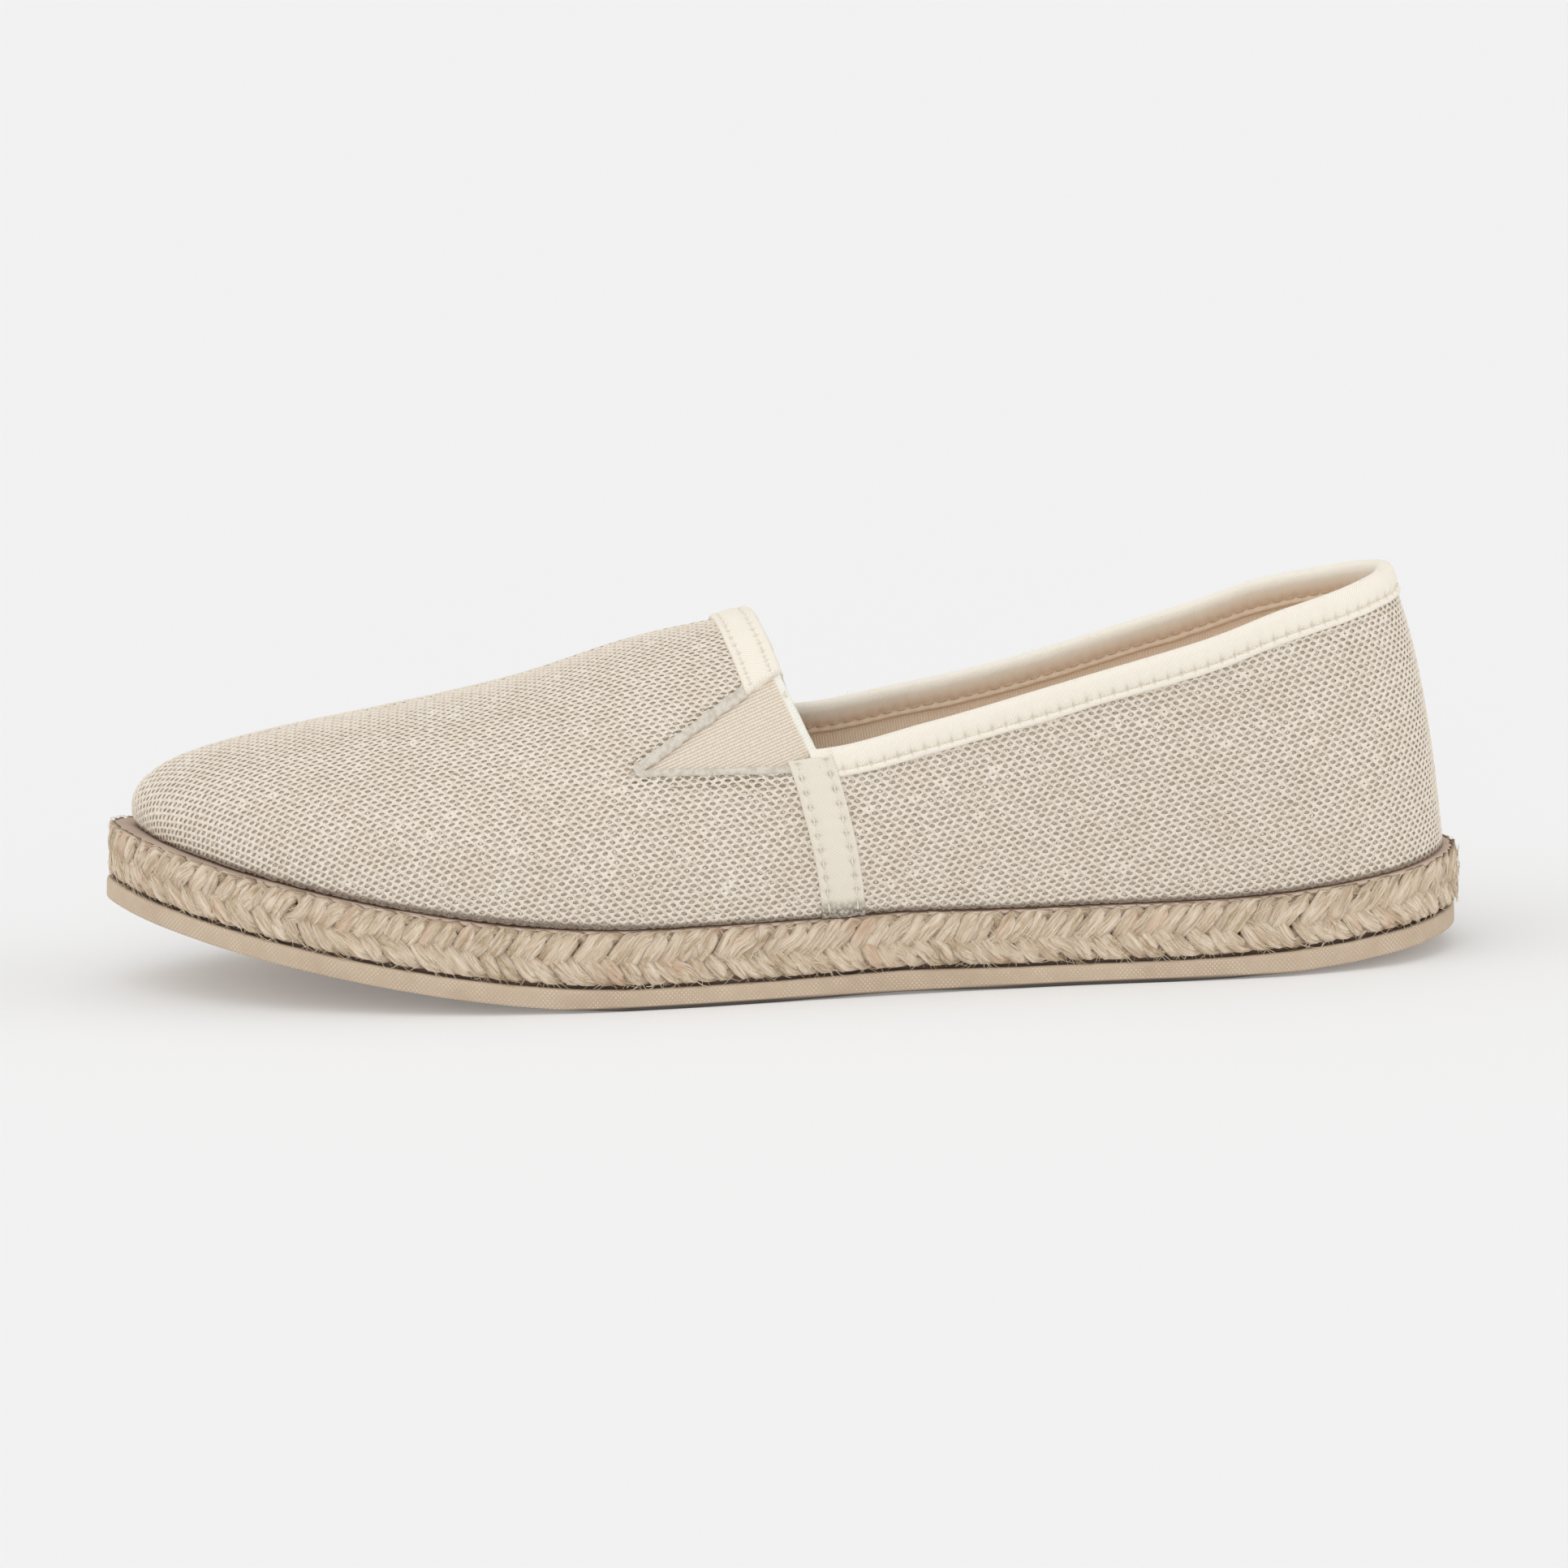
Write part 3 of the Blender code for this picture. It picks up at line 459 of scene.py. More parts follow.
def upper_point(side_share, climb):
    """A point of the upper's outer face. Past the toe or the ridge, the other side goes on."""
    u, v = np.broadcast_arrays(np.asarray(side_share, float), np.asarray(climb, float))
    u = np.where(v > 1, -u, u)
    v = np.where(v > 1, 2 - v, v)
    u = np.where(np.abs(u) > 1, u - 2 * np.sign(u), u)
    side, share = np.where(u < 0, LATERAL, MEDIAL), np.abs(u)
    rib = {name: smooth_value(RIBS, name, "share", share) for name in RIBS["columns"][1:]}

    starts = {LATERAL: share, MEDIAL: share + rib["medial_ahead"]}
    feet = [edge_point(each, start, rib["ledge"]) for each, start in starts.items()]
    lateral = (side == LATERAL)[..., None]
    edge, normal = (np.where(lateral, feet[0][k], feet[1][k]) for k in (0, 1))
    foot = on_sole(np.concatenate([edge, np.full_like(edge[..., :1], SOLE_TOP + GAP)], axis=-1))
    spine = np.stack([rib["station"] * LENGTH, rib["across"], rib["height"] * INSTEP_HEIGHT], axis=-1)

    level = np.array([1.0, 1.0, 0.0])
    up = np.array([0.0, 0.0, 1.0])
    apart = np.linalg.norm((foot - spine) * level, axis=-1, keepdims=True)
    sideways = side[..., None] * np.array([0.0, 1.0, 0.0])
    fan = rib["fan"][..., None]
    leave = unit(fan * unit((foot - spine) * level) + (1 - fan) * sideways)
    roof = np.where(share > THROAT_SHARE, ridge_slope(share), 0.0)[..., None] * leave[..., :1]
    outward = np.concatenate([normal, np.zeros_like(normal[..., :1])], axis=-1)
    low = foot + outward * rib["swell"][..., None]
    low = low + (spine - foot) * np.stack([rib["lean"], 0.0 * share, rib["rise"]], axis=-1)
    high = spine + (leave + up * roof) * rib["reach"][..., None] * apart
    high = high + np.stack([rib["sweep"], 0.0 * share, 0.0 * share], axis=-1)

    v = v[..., None]
    return (1 - v) ** 3 * foot + 3 * v * (1 - v) ** 2 * low + 3 * v**2 * (1 - v) * high + v**3 * spine


def ridge_slope(share):
    """How the ridge's height changes with station."""
    share = np.clip(share, THROAT_SHARE, 0.98)
    ends = share - 0.02, share + 0.02
    height = [smooth_value(RIBS, "height", "share", end) * INSTEP_HEIGHT for end in ends]
    station = [smooth_value(RIBS, "station", "share", end) * LENGTH for end in ends]
    return (height[1] - height[0]) / (station[1] - station[0])


def along(side_share, climb):
    """World-space change of the upper's face for a unit of side share and of climb."""
    step = 0.002
    across = upper_point(side_share + step, climb) - upper_point(side_share - step, climb)
    upward = upper_point(side_share, climb + step) - upper_point(side_share, climb - step)
    to_metres = np.array([-1.0, 1.0, 1.0]) * MM / (2 * step)
    return across * to_metres, upward * to_metres


def collar_climb(side_share):
    """The climb at which a rib meets the collar's raw edge."""
    sides = np.atleast_1d(side_share)
    shares = np.abs(sides)
    drop = smooth_value(COLLAR, "medial_drop", "share", shares)
    wanted = smooth_value(COLLAR, "height", "share", shares) * HEEL_HEIGHT - np.where(sides > 0, drop, 0.0)
    climbs = np.linspace(0.0, 1.0, FINE_STEPS)
    heights = upper_point(np.atleast_1d(side_share)[:, None], climbs[None, :])[..., 2]
    return np.array([np.interp(z, row, climbs) for z, row in zip(wanted, heights)])


def place_of(side, station, height):
    """Side share and climb of the points that the side view shows at these stations and heights."""
    station, height = np.broadcast_arrays(np.asarray(station, float), np.asarray(height, float))
    share = np.interp(station, PLACE_STATIONS, PLACE_SHARES)
    climb = np.full(station.shape, 0.5)
    step = 1e-3
    for _ in range(30):
        here = upper_point(side * share, climb)[..., [0, 2]]
        by_share = (upper_point(side * (share + step), climb)[..., [0, 2]] - here) / step
        by_climb = (upper_point(side * share, climb + step)[..., [0, 2]] - here) / step
        miss = np.stack([station, height], axis=-1) - here
        whole = turned_from(by_share, by_climb)
        by, up = turned_from(miss, by_climb) / whole, turned_from(by_share, miss) / whole
        share = np.clip(share + np.clip(by, -0.05, 0.05), 0.01, 0.95)
        climb = np.clip(climb + np.clip(up, -0.1, 0.1), 0.0, 0.99)
    return side * share, climb


PLACE_SHARES = np.linspace(0.0, 1.0, 41)
PLACE_STATIONS = upper_point(-PLACE_SHARES, 0.4)[:, 0]


# -------- creases and the cloth's face


def crease_height(side_share, points):
    """How far the creases lift the cloth at these places, in millimetres."""
    lift = np.zeros(points.shape[:-1])
    for side, start, end, out, width in CREASES:
        start, end = np.array(start), np.array(end)
        way = end - start
        from_start = points[..., [0, 2]] - start
        along_it = np.clip(from_start @ way / (way @ way), 0, 1)
        off_it = np.linalg.norm(from_start - along_it[..., None] * way, axis=-1)
        fade = np.sin(np.pi * along_it) ** CREASE_FADE
        same_side = np.where(side_share * side > 0, 1.0, 0.0)
        lift += out * same_side * fade * np.exp(-((off_it / width) ** 2))
    return lift


def face(side_share, climb, out=0.0):
    """World point a distance off the upper's outer face, creases included."""
    side_share, climb, out = np.broadcast_arrays(side_share, climb, out)
    across, upward = along(side_share, climb)
    normal = unit(np.cross(across, upward))
    points = upper_point(side_share, climb)
    lift = out + crease_height(side_share, points)
    return to_world(points) + normal * lift[..., None] * MM


# -------- meshes


def add_object(name, data):
    obj = bpy.data.objects.new(name, data)
    bpy.context.scene.collection.objects.link(obj)
    return obj


def add_piece(name, points, faces, materials, uv=None, shades=None, face_slots=None, weld=False):
    """A piece of the shoe: riding on its body, with a slot for each of its materials."""
    mesh = bpy.data.meshes.new(name)
    points = np.ascontiguousarray(np.reshape(points, (-1, 3)), np.float32)
    faces = [np.asarray(group, np.int32) for group in faces if len(group)]
    loops = np.concatenate([group.ravel() for group in faces])
    sizes = np.concatenate([np.full(len(group), group.shape[1], np.int32) for group in faces])
    mesh.vertices.add(len(points))
    mesh.vertices.foreach_set("co", points.ravel())
    mesh.loops.add(len(loops))
    mesh.loops.foreach_set("vertex_index", loops)
    mesh.polygons.add(len(sizes))
    mesh.polygons.foreach_set("loop_start", summed(sizes)[:-1].astype(np.int32))
    mesh.polygons.foreach_set("loop_total", sizes)
    if face_slots is not None:
        mesh.polygons.foreach_set("material_index", np.asarray(face_slots, np.int32))
    if uv is not None:
        layer = mesh.uv_layers.new(name="UVMap")
        layer.data.foreach_set("uv", np.reshape(uv, (-1, 2))[loops].astype(np.float32).ravel())
    for shade, values in (shades or {}).items():
        attribute = mesh.attributes.new(shade, "FLOAT", "POINT")
        attribute.data.foreach_set("value", np.ravel(values).astype(np.float32))
    mesh.polygons.foreach_set("use_smooth", np.full(len(sizes), True))
    mesh.update(calc_edges=True)
    if weld:
        merged = bmesh.new()
        merged.from_mesh(mesh)
        bmesh.ops.remove_doubles(merged, verts=merged.verts, dist=1e-7)
        merged.to_mesh(mesh)
        merged.free()
    obj = add_object(name, mesh)
    for made in materials if isinstance(materials, (list, tuple)) else [materials]:
        mesh.materials.append(made)
    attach(obj, "root")
    return obj


def grid_faces(rows, columns, wrap_rows=False, wrap_columns=False):
    """Quads of a grid of points. Their normals are along (row direction) x (column direction)."""
    row = np.arange(rows if wrap_rows else rows - 1)[:, None]
    span = np.arange(columns if wrap_columns else columns - 1)[None, :]
    next_row, next_span = (row + 1) % rows, (span + 1) % columns
    corners = (
        row * columns + span,
        next_row * columns + span,
        next_row * columns + next_span,
        row * columns + next_span,
    )
    return np.stack([np.broadcast_to(c, (row.size, span.size)).ravel() for c in corners], axis=1)


def tubes(paths, radii, up, sides):
    """Points and faces of many small tubes: paths (count, steps, 3), radii (count, steps) in metres."""
    count, steps = paths.shape[:2]
    ahead = unit(np.gradient(paths, axis=1))
    across = unit(np.cross(ahead, up))
    above = np.cross(across, ahead)
    turn = np.arange(sides) * 2 * np.pi / sides
    ring = across[:, :, None] * np.cos(turn)[:, None] + above[:, :, None] * np.sin(turn)[:, None]
    points = paths[:, :, None] + ring * radii[:, :, None, None]
    walls = grid_faces(steps, sides, wrap_columns=True)
    first = np.arange(sides)[None, :]
    last = (steps - 1) * sides + np.arange(sides)[None, ::-1]
    each = np.arange(count)[:, None, None] * steps * sides
    ends = np.concatenate([first, last])[None] + each
    return points.reshape(-1, 3), [(walls[None] + each).reshape(-1, 4), ends.reshape(-1, sides)]


def noise_along(at, spacing, seed, count=None):
    """Smooth random values between -1 and 1 at positions along a line, or a count of independent rows."""
    at = np.asarray(at, float)
    random = np.random.default_rng(seed)
    knots = random.uniform(-1, 1, (count or 1, int(at.max() / spacing) + 4))
    place = at / spacing
    low = np.floor(place).astype(int)
    part = place - low
    part = part * part * (3 - 2 * part)
    rows = knots[:, low] * (1 - part) + knots[:, low + 1] * part
    return rows if count else rows[0]


# -------- materials


class Shader:
    """A Principled material under construction: short calls for the nodes that it is made of."""

    def __init__(self, name, colour, roughness, under=None, **sockets):
        """under is the colour that the first call of paint covers, where it isn't the colour itself."""
        self.material = bpy.data.materials.new(name)
        self.material.use_nodes = True
        self.nodes = self.material.node_tree.nodes
        self.links = self.material.node_tree.links
        self.shader = self.nodes["Principled BSDF"]
        self.tone = srgb(under or colour)
        self.shader.inputs["Base Color"].default_value = srgb(colour)
        self.shader.inputs["Roughness"].default_value = roughness
        for socket, value in sockets.items():
            self.shader.inputs[socket.replace("_", " ")].default_value = value

    def add(self, kind, inputs=(), **settings):
        node = self.nodes.new("ShaderNode" + kind)
        for key, value in settings.items():
            setattr(node, key, value)
        for key, value in dict(inputs).items():
            if isinstance(value, bpy.types.NodeSocket):
                self.links.new(value, node.inputs[key])
            else:
                node.inputs[key].default_value = value
        return node

    def uv(self, scale=(1.0, 1.0, 1.0), turn=0.0, kind="UV"):
        """The piece's UV map, in millimetres times the scale."""
        place = self.add("TexCoord").outputs[kind]
        inputs = {"Vector": place, "Scale": scale, "Rotation": (0, 0, turn)}
        return self.add("Mapping", inputs).outputs["Vector"]

    def object(self):
        """The object's own coordinates, in metres."""
        return self.uv(kind="Object")

    def noise(self, place, scale, detail=2.0, roughness=0.5):
        inputs = {"Vector": place, "Scale": scale, "Detail": detail, "Roughness": roughness}
        return self.add("TexNoise", inputs).outputs["Fac"]

    def wave(self, place, pitch, distortion=0.0):
        """Even bands across the place's X, one for each pitch."""
        inputs = {"Vector": place, "Scale": math.pi / 10 / pitch, "Distortion": distortion, "Detail": 1.0}
        return self.add("TexWave", inputs, wave_profile="SIN").outputs["Fac"]

    def shade(self, name):
        return self.add("Attribute", attribute_name=name).outputs["Fac"]

    def math(self, operation, *values):
        return self.add("Math", dict(enumerate(values)), operation=operation).outputs[0]

    def span(self, value, low, high, to_low=0.0, to_high=1.0):
        inputs = {0: value, 1: low, 2: high, 3: to_low, 4: to_high}
        return self.add("MapRange", inputs, interpolation_type="SMOOTHSTEP").outputs[0]

    def paint(self, colour, value, *steps):
        """Lays a colour over the tone so far: by the value itself, or by its span over the steps."""
        part = self.span(value, *steps) if steps else value
        inputs = {0: part, 6: self.tone, 7: srgb(colour)}
        self.tone = self.add("Mix", inputs, data_type="RGBA").outputs[2]
        self.links.new(self.tone, self.shader.inputs["Base Color"])

    def bump(self, height, distance, strength=1.0):
        """Adds relief: distance in millimetres is the height of a full step of the value."""
        inputs = {"Height": height, "Distance": distance * MM, "Strength": strength}
        node = self.add("Bump", inputs)
        normal = self.shader.inputs["Normal"]
        if normal.is_linked:
            self.links.new(normal.links[0].from_socket, node.inputs["Normal"])
        self.links.new(node.outputs["Normal"], normal)


def srgb(colour):
    """Linear RGBA from 0 to 255 display values."""
    share = np.array(colour, float) / 255
    linear = np.where(share <= 0.04045, share / 12.92, ((share + 0.055) / 1.055) ** 2.4)
    return (*map(float, linear), 1.0)


def tinted(colour, part):
    return tuple(part * channel for channel in colour)


def tape_material(name, colour, dirt=False):
    """Cotton twill tape: fine diagonal threads and soft mottling. Painted shade darkens its stitch holes,
    painted bounce light and shade tint its inside face warm, and a tape so asked for is darker and patchy
    towards its foot, all by the piece's attributes.
    """
    make = Shader(name, colour, 0.95, under=tinted(colour, 0.94))
    warp = make.wave(make.uv(turn=math.radians(38)), 0.46, 0.8)
    weft = make.wave(make.uv(turn=math.radians(-52)), 0.38, 0.8)
    threads = make.math("ADD", make.math("MULTIPLY", warp, 0.7), make.math("MULTIPLY", weft, 0.3))
    make.paint(colour, threads, 0.1, 0.8)
    make.paint(tinted(colour, 0.96), make.noise(make.uv(), 0.35, 3.0), 0.45, 0.75, 0.0, 0.5)
    # painted shade in the stitch holes
    make.paint((160, 140, 116), make.shade("hole"), 0.0, 1.0, 0.0, 0.4)
    # painted bounce light and shade on the tape's inside face, warmer further down from the fold
    make.paint((240, 218, 193), make.shade("inner"))
    if dirt:
        # darker and patchy towards the foot
        patchy = make.span(make.noise(make.uv(), 1.4, 3.0), 0.3, 0.6, 0.35, 1.0)
        make.paint((122, 114, 100), make.math("MULTIPLY", make.shade("dirt"), patchy))
    make.bump(threads, 0.035)
    make.bump(make.noise(make.uv(), 6.0, 4.0, 0.7), 0.08, 0.8)
    return make.material


def net_material():
    """Mesh yarn: cream, with darker and lighter fibres. Painted shade darkens it down into the holes, at the
    web's dimples and just above the sole.
    """
    make = Shader("air_mesh", (238, 232, 222), 0.9, under=(240, 232, 220))
    yarn = make.noise(make.uv(), 2.3, 3.0, 0.7)
    make.paint((234, 224, 209), make.noise(make.uv(), 0.12, 3.0), 0.35, 0.7)
    make.paint((221, 209, 192), make.shade("tone"), 0.0, 1.0, 0.0, 0.2)
    make.paint((214, 200, 182), yarn, 0.5, 0.8, 0.0, 0.4)
    make.paint((250, 246, 238), yarn, 0.25, 0.45, 0.5, 0.0)
    # painted shade in the holes and the web's dimples
    make.paint((208, 193, 174), make.shade("deep"))
    # painted shade just above the sole
    make.paint((120, 103, 88), make.shade("foot"), 0.2, 1.0, 0.85, 0.0)
    make.bump(yarn, 0.10)
    return make.material


def lining_material(name, light, dark):
    """Taupe lining cloth with fine ribs and slubs."""
    make = Shader(name, light, 0.9, under=dark)
    ribs = make.wave(make.uv(), 0.55)
    knots = make.noise(make.uv((1.0, 0.45, 1.0)), 2.6, 2.0)
    make.paint(light, ribs, 0.1, 0.8)
    make.paint(tinted(light, 1.06), knots, 0.5, 0.8, 0.0, 0.5)
    make.bump(ribs, 0.05)
    make.bump(knots, 0.08)
    return make.material


def backing_material():
    """The knit behind the holes: taupe, mottled with lighter loops, with dots of glossy yarn whose white is a
    painted glint.
    """
    make = Shader("mesh_backing", (176, 160, 140), 0.8, under=(170, 153, 134))
    loops = make.add("TexVoronoi", {"Vector": make.uv(), "Scale": 1.9, "Randomness": 1.0}, feature="F1")
    tint = make.add("SeparateColor", {0: loops.outputs["Color"]})
    fine = make.noise(make.uv(), 2.4, 2.0, 0.6)
    glint_cells = make.span(tint.outputs[0], 0.58, 0.60)
    painted_glint = make.math("MULTIPLY", make.span(loops.outputs["Distance"], 0.22, 0.38, 1.0, 0.0), glint_cells)
    make.paint((202, 189, 172), fine, 0.3, 0.7)
    make.paint((222, 211, 196), tint.outputs[1], 0.5, 0.9, 0.0, 0.5)
    # painted glints: white dots for the glossy spacer yarn
    make.paint((255, 255, 253), painted_glint)
    make.links.new(make.span(painted_glint, 0.0, 1.0, 0.85, 0.35), make.shader.inputs["Roughness"])
    make.bump(loops.outputs["Distance"], -0.15)
    make.bump(fine, 0.15)
    return make.material


def elastic_material():
    """Woven elastic: slanted rows of light dots on beige."""
    make = Shader("woven_elastic", (224, 211, 192), 0.9, under=(207, 191, 172))
    rows = make.wave(make.uv(turn=math.radians(90 + ELASTIC_SLANT)), 0.57)
    lines = make.wave(make.uv(turn=math.radians(ELASTIC_SLANT)), 0.53)
    dots = make.math("MULTIPLY", rows, make.span(lines, 0.0, 1.0, 0.55, 1.0))
    worn = make.noise(make.uv(), 1.7, 2.0)
    dots = make.math("ADD", dots, make.span(worn, 0.3, 0.7, -0.15, 0.15))
    make.paint((240, 229, 214), dots, 0.1, 0.85)
    make.paint((238, 235, 224), make.shade("selvedge"))
    make.bump(dots, 0.14)
    return make.material


def felt_material():
    """The turned mesh edge: whitish, soft and fibrous."""
    make = Shader("turned_edge", (236, 233, 224), 0.95, under=(214, 207, 195))
    fuzz = make.noise(make.object(), 2600, 4.0, 0.7)
    blotch = make.noise(make.object(), 900, 3.0)
    make.paint((196, 187, 172), blotch, 0.4, 0.65)
    make.paint((196, 185, 169), fuzz, 0.5, 0.7, 0.0, 0.3)
    make.bump(fuzz, 0.12)
    make.bump(blotch, 0.2, 0.6)
    return make.material


def jute_material():
    """Jute strand: fibres along the strand, mixed blond and reddish. Painted shade darkens the grooves
    between its bundles and the crevices between the strands.
    """
    make = Shader("jute_fibre", (214, 194, 162), 0.85, under=(214, 192, 166))
    fibres = make.noise(make.uv((0.08, 1.0, 1.0)), 3.6, 4.0, 0.7)
    bundles = make.noise(make.uv((0.10, 0.5, 1.0)), 1.9, 2.0)
    patches = make.noise(make.uv((0.05, 0.05, 1.0)), 2.2, 1.0)
    make.paint((236, 219, 197), bundles, 0.3, 0.7)
    make.paint((246, 233, 213), fibres, 0.5, 0.7)
    make.paint((192, 166, 136), bundles, 0.3, 0.42, 0.5, 0.0)
    make.paint((176, 148, 118), fibres, 0.36, 0.46, 0.9, 0.0)
    make.paint((216, 176, 148), patches, 0.58, 0.72, 0.0, 0.45)
    # painted shade in the grooves between fibre bundles
    make.paint((170, 140, 108), make.shade("groove"))
    # painted shade in the crevices between strands
    make.paint((150, 120, 90), make.shade("deep"))
    make.bump(fibres, 0.4)
    make.bump(bundles, 0.6)
    return make.material


def hair_material():
    make = Shader("jute_hair", (226, 210, 180), 0.6, under=(236, 222, 194))
    make.paint((192, 166, 126), make.noise(make.object(), 180, 2.0), 0.4, 0.65)
    return make.material


def dotted_rubber_material():
    """Tan rubber with fine raised dots in staggered rows, darkened near the floor by a painted contact
    shadow.
    """
    make = Shader("tan_rubber_dots", (190, 170, 147), 0.78, under=(192, 172, 149))
    across = (1.0, DOT_PITCH / (2 * DOT_ROWS), 1.0)
    rows = [make.wave(make.uv(across, math.radians(turn)), DOT_PITCH / math.sqrt(2)) for turn in (45, -45)]
    dots = make.math("MULTIPLY", *rows)
    worn = make.span(make.noise(make.object(), 300, 3.0), 0.35, 0.65, 0.2, 0.9)
    make.paint((182, 161, 138), make.noise(make.object(), 70, 3.0), 0.35, 0.7)
    make.paint((220, 204, 183), make.math("MULTIPLY", make.span(dots, 0.3, 0.8), worn))
    # painted contact shadow near the floor
    make.paint((70, 62, 56), make.shade("under"))
    make.bump(dots, 0.05)
    return make.material


def foam_material(name, light, dark, scale, bump):
    """Matt foam or rubber with a fine grain and faint blotches."""
    make = Shader(name, light, 0.78)
    grain = make.noise(make.object(), scale, 3.0, 0.6)
    make.paint(dark, make.noise(make.object(), 70, 3.0), 0.35, 0.7)
    make.paint(tinted(dark, 0.9), grain, 0.55, 0.8, 0.0, 0.4)
    make.bump(grain, bump)
    return make.material


def thread_material(name, colour):
    make = Shader(name, colour, 0.75)
    twist = make.noise(make.object(), 3200, 2.0)
    make.paint(tinted(colour, 0.86), twist, 0.35, 0.7)
    make.bump(twist, 0.05)
    return make.material


# -------- mesh cloth with real holes


def flattened(points):
    """Flat coordinates in millimetres of a panel's grid of points, by a low-stretch unwrap."""
    rows, columns = points.shape[:2]
    keys = np.round(points.reshape(-1, 3), 4)
    _, first, index = np.unique(keys, axis=0, return_index=True, return_inverse=True)
    index = index.reshape(-1)
    mesh = bpy.data.meshes.new("flattening")
    mesh.from_pydata(points.reshape(-1, 3)[first].tolist(), [], index[grid_faces(rows, columns)].tolist())
    obj = add_object("flattening", mesh)
    for other in bpy.context.selected_objects:
        other.select_set(False)
    bpy.context.view_layer.objects.active = obj
    obj.select_set(True)
    bpy.ops.object.mode_set(mode="EDIT")
    bpy.ops.mesh.select_all(action="SELECT")
    bpy.ops.uv.unwrap(method="MINIMUM_STRETCH", iterations=60, margin=0.0)
    bpy.ops.object.mode_set(mode="OBJECT")
    uv = np.empty(len(mesh.loops) * 2, np.float32)
    mesh.uv_layers.active.data.foreach_get("uv", uv)
    corners = np.empty(len(mesh.loops), np.int32)
    mesh.loops.foreach_get("vertex_index", corners)
    flat = np.zeros((len(first), 2))
    flat[corners] = uv.reshape(-1, 2)
    bpy.data.objects.remove(obj)
    flat = flat[index].reshape(rows, columns, 2)
    return flat * math.sqrt(area_of(points) / area_of(flat))


def area_of(grid):
    if grid.shape[-1] == 2:
        grid = np.concatenate([grid, np.zeros_like(grid[..., :1])], axis=-1)
    one, two = grid[1:, 1:] - grid[:-1, :-1], grid[1:, :-1] - grid[:-1, 1:]
    return np.linalg.norm(np.cross(one, two), axis=-1).sum() / 2


class Cloth:
    """A panel cut from the upper, with flat coordinates in millimetres laid on it.

    The mesh's rows run from one of its grid points, along_from, to another, along_to.
    """

    def __init__(self, side_shares, climbs, along_from, along_to):
        self.places = np.stack(np.broadcast_arrays(side_shares, climbs), axis=-1)
        flat = flattened(upper_point(side_shares, climbs))
        rows, columns = flat.shape[:2]
        start, end = (flat[at] for at in (along_from, along_to))
        way = unit(end - start)
        turned = (flat - start) @ np.array([[way[0], -way[1]], [way[1], way[0]]])
        ahead, beside = turned[1, 0] - turned[0, 0], turned[0, 1] - turned[0, 0]
        if turned_from(ahead, beside) < 0:
            turned[..., 1] *= -1
        self.flat = turned
        quads = grid_faces(rows, columns)
        self.triangles = np.concatenate([quads[:, [0, 1, 2]], quads[:, [0, 2, 3]]])
        level = np.concatenate([turned, np.zeros((rows, columns, 1))], axis=-1).reshape(-1, 3)
        self.tree = BVHTree.FromPolygons(level.tolist(), self.triangles.tolist())

    def lay(self, spots):
        """Side shares and climbs of flat spots, and how far those outside the panel moved to its edge."""
        flat, places = self.flat.reshape(-1, 2), self.places.reshape(-1, 2)
        found = [self.tree.find_nearest((x, y, 0.0)) for x, y in spots.tolist()]
        landed = np.array([hit[0][:2] for hit in found])
        corners = self.triangles[[hit[2] for hit in found]]
        a, b, c = (flat[corners[:, k]] for k in range(3))
        ab, ac, ap = b - a, c - a, landed - a
        whole = turned_from(ab, ac)
        by_b, by_c = turned_from(ap, ac) / whole, turned_from(ab, ap) / whole
        shares = np.stack([1 - by_b - by_c, by_b, by_c], axis=1)
        return (shares[:, :, None] * places[corners]).sum(axis=1), np.linalg.norm(landed - spots, axis=1)


def net_cells(cloth):
    """Centres of the mesh cloth's cells that cover a panel."""
    low, high = cloth.flat.reshape(-1, 2).min(axis=0), cloth.flat.reshape(-1, 2).max(axis=0)
    row = np.arange(int(low[1] / ROW_SPACING) - 1, int(high[1] / ROW_SPACING) + 2)
    column = np.arange(int(low[0] / HOLE_PITCH) - 1, int(high[0] / HOLE_PITCH) + 2)
    row, column = (grid.ravel() for grid in np.meshgrid(row, column))
    return np.stack([(column + 0.5 * (row % 2)) * HOLE_PITCH, row * ROW_SPACING], axis=1)


def web_corners(centres, circle):
    """The web's flat points, which neighbouring cells share, their corner numbers, and each cell's eight."""
    outer = circle * np.array([HOLE_PITCH / 2, ROW_SPACING])
    outer[1::2] = (outer[0::2] + np.roll(outer[0::2], -1, axis=0)) / 2
    web = (centres[:, None] + outer).reshape(-1, 2)
    keys = np.round(web / 0.01 + 0.1).astype(int)
    _, first, shared = np.unique(keys, axis=0, return_index=True, return_inverse=True)
    return web[first], first % HOLE_SIDES, shared.reshape(-1, HOLE_SIDES)


def hole_lips(centres, circle, random):
    """Flat points round each hole: ellipses that are a little uneven in size, place and tilt."""
    count = len(centres)
    size = 1 + SIZE_SPREAD * random.standard_normal((count, 1, 2))
    filled = random.random((count, 1, 1)) < HOLES_FILLED
    size *= np.where(filled, random.uniform(*FILLED_SIZES, (count, 1, 1)), 1)
    drift = PLACE_SPREAD * random.standard_normal((count, 1, 2))
    tilt = HOLE_TILT + TILT_SPREAD * random.standard_normal((count, 1))
    across, up = np.moveaxis(circle * np.array([HOLE_ACROSS, HOLE_UP]) * size, -1, 0)
    tilted = [across * np.cos(tilt) - up * np.sin(tilt), across * np.sin(tilt) + up * np.cos(tilt)]
    return (centres[:, None] + drift + np.stack(tilted, axis=-1)).reshape(-1, 2)


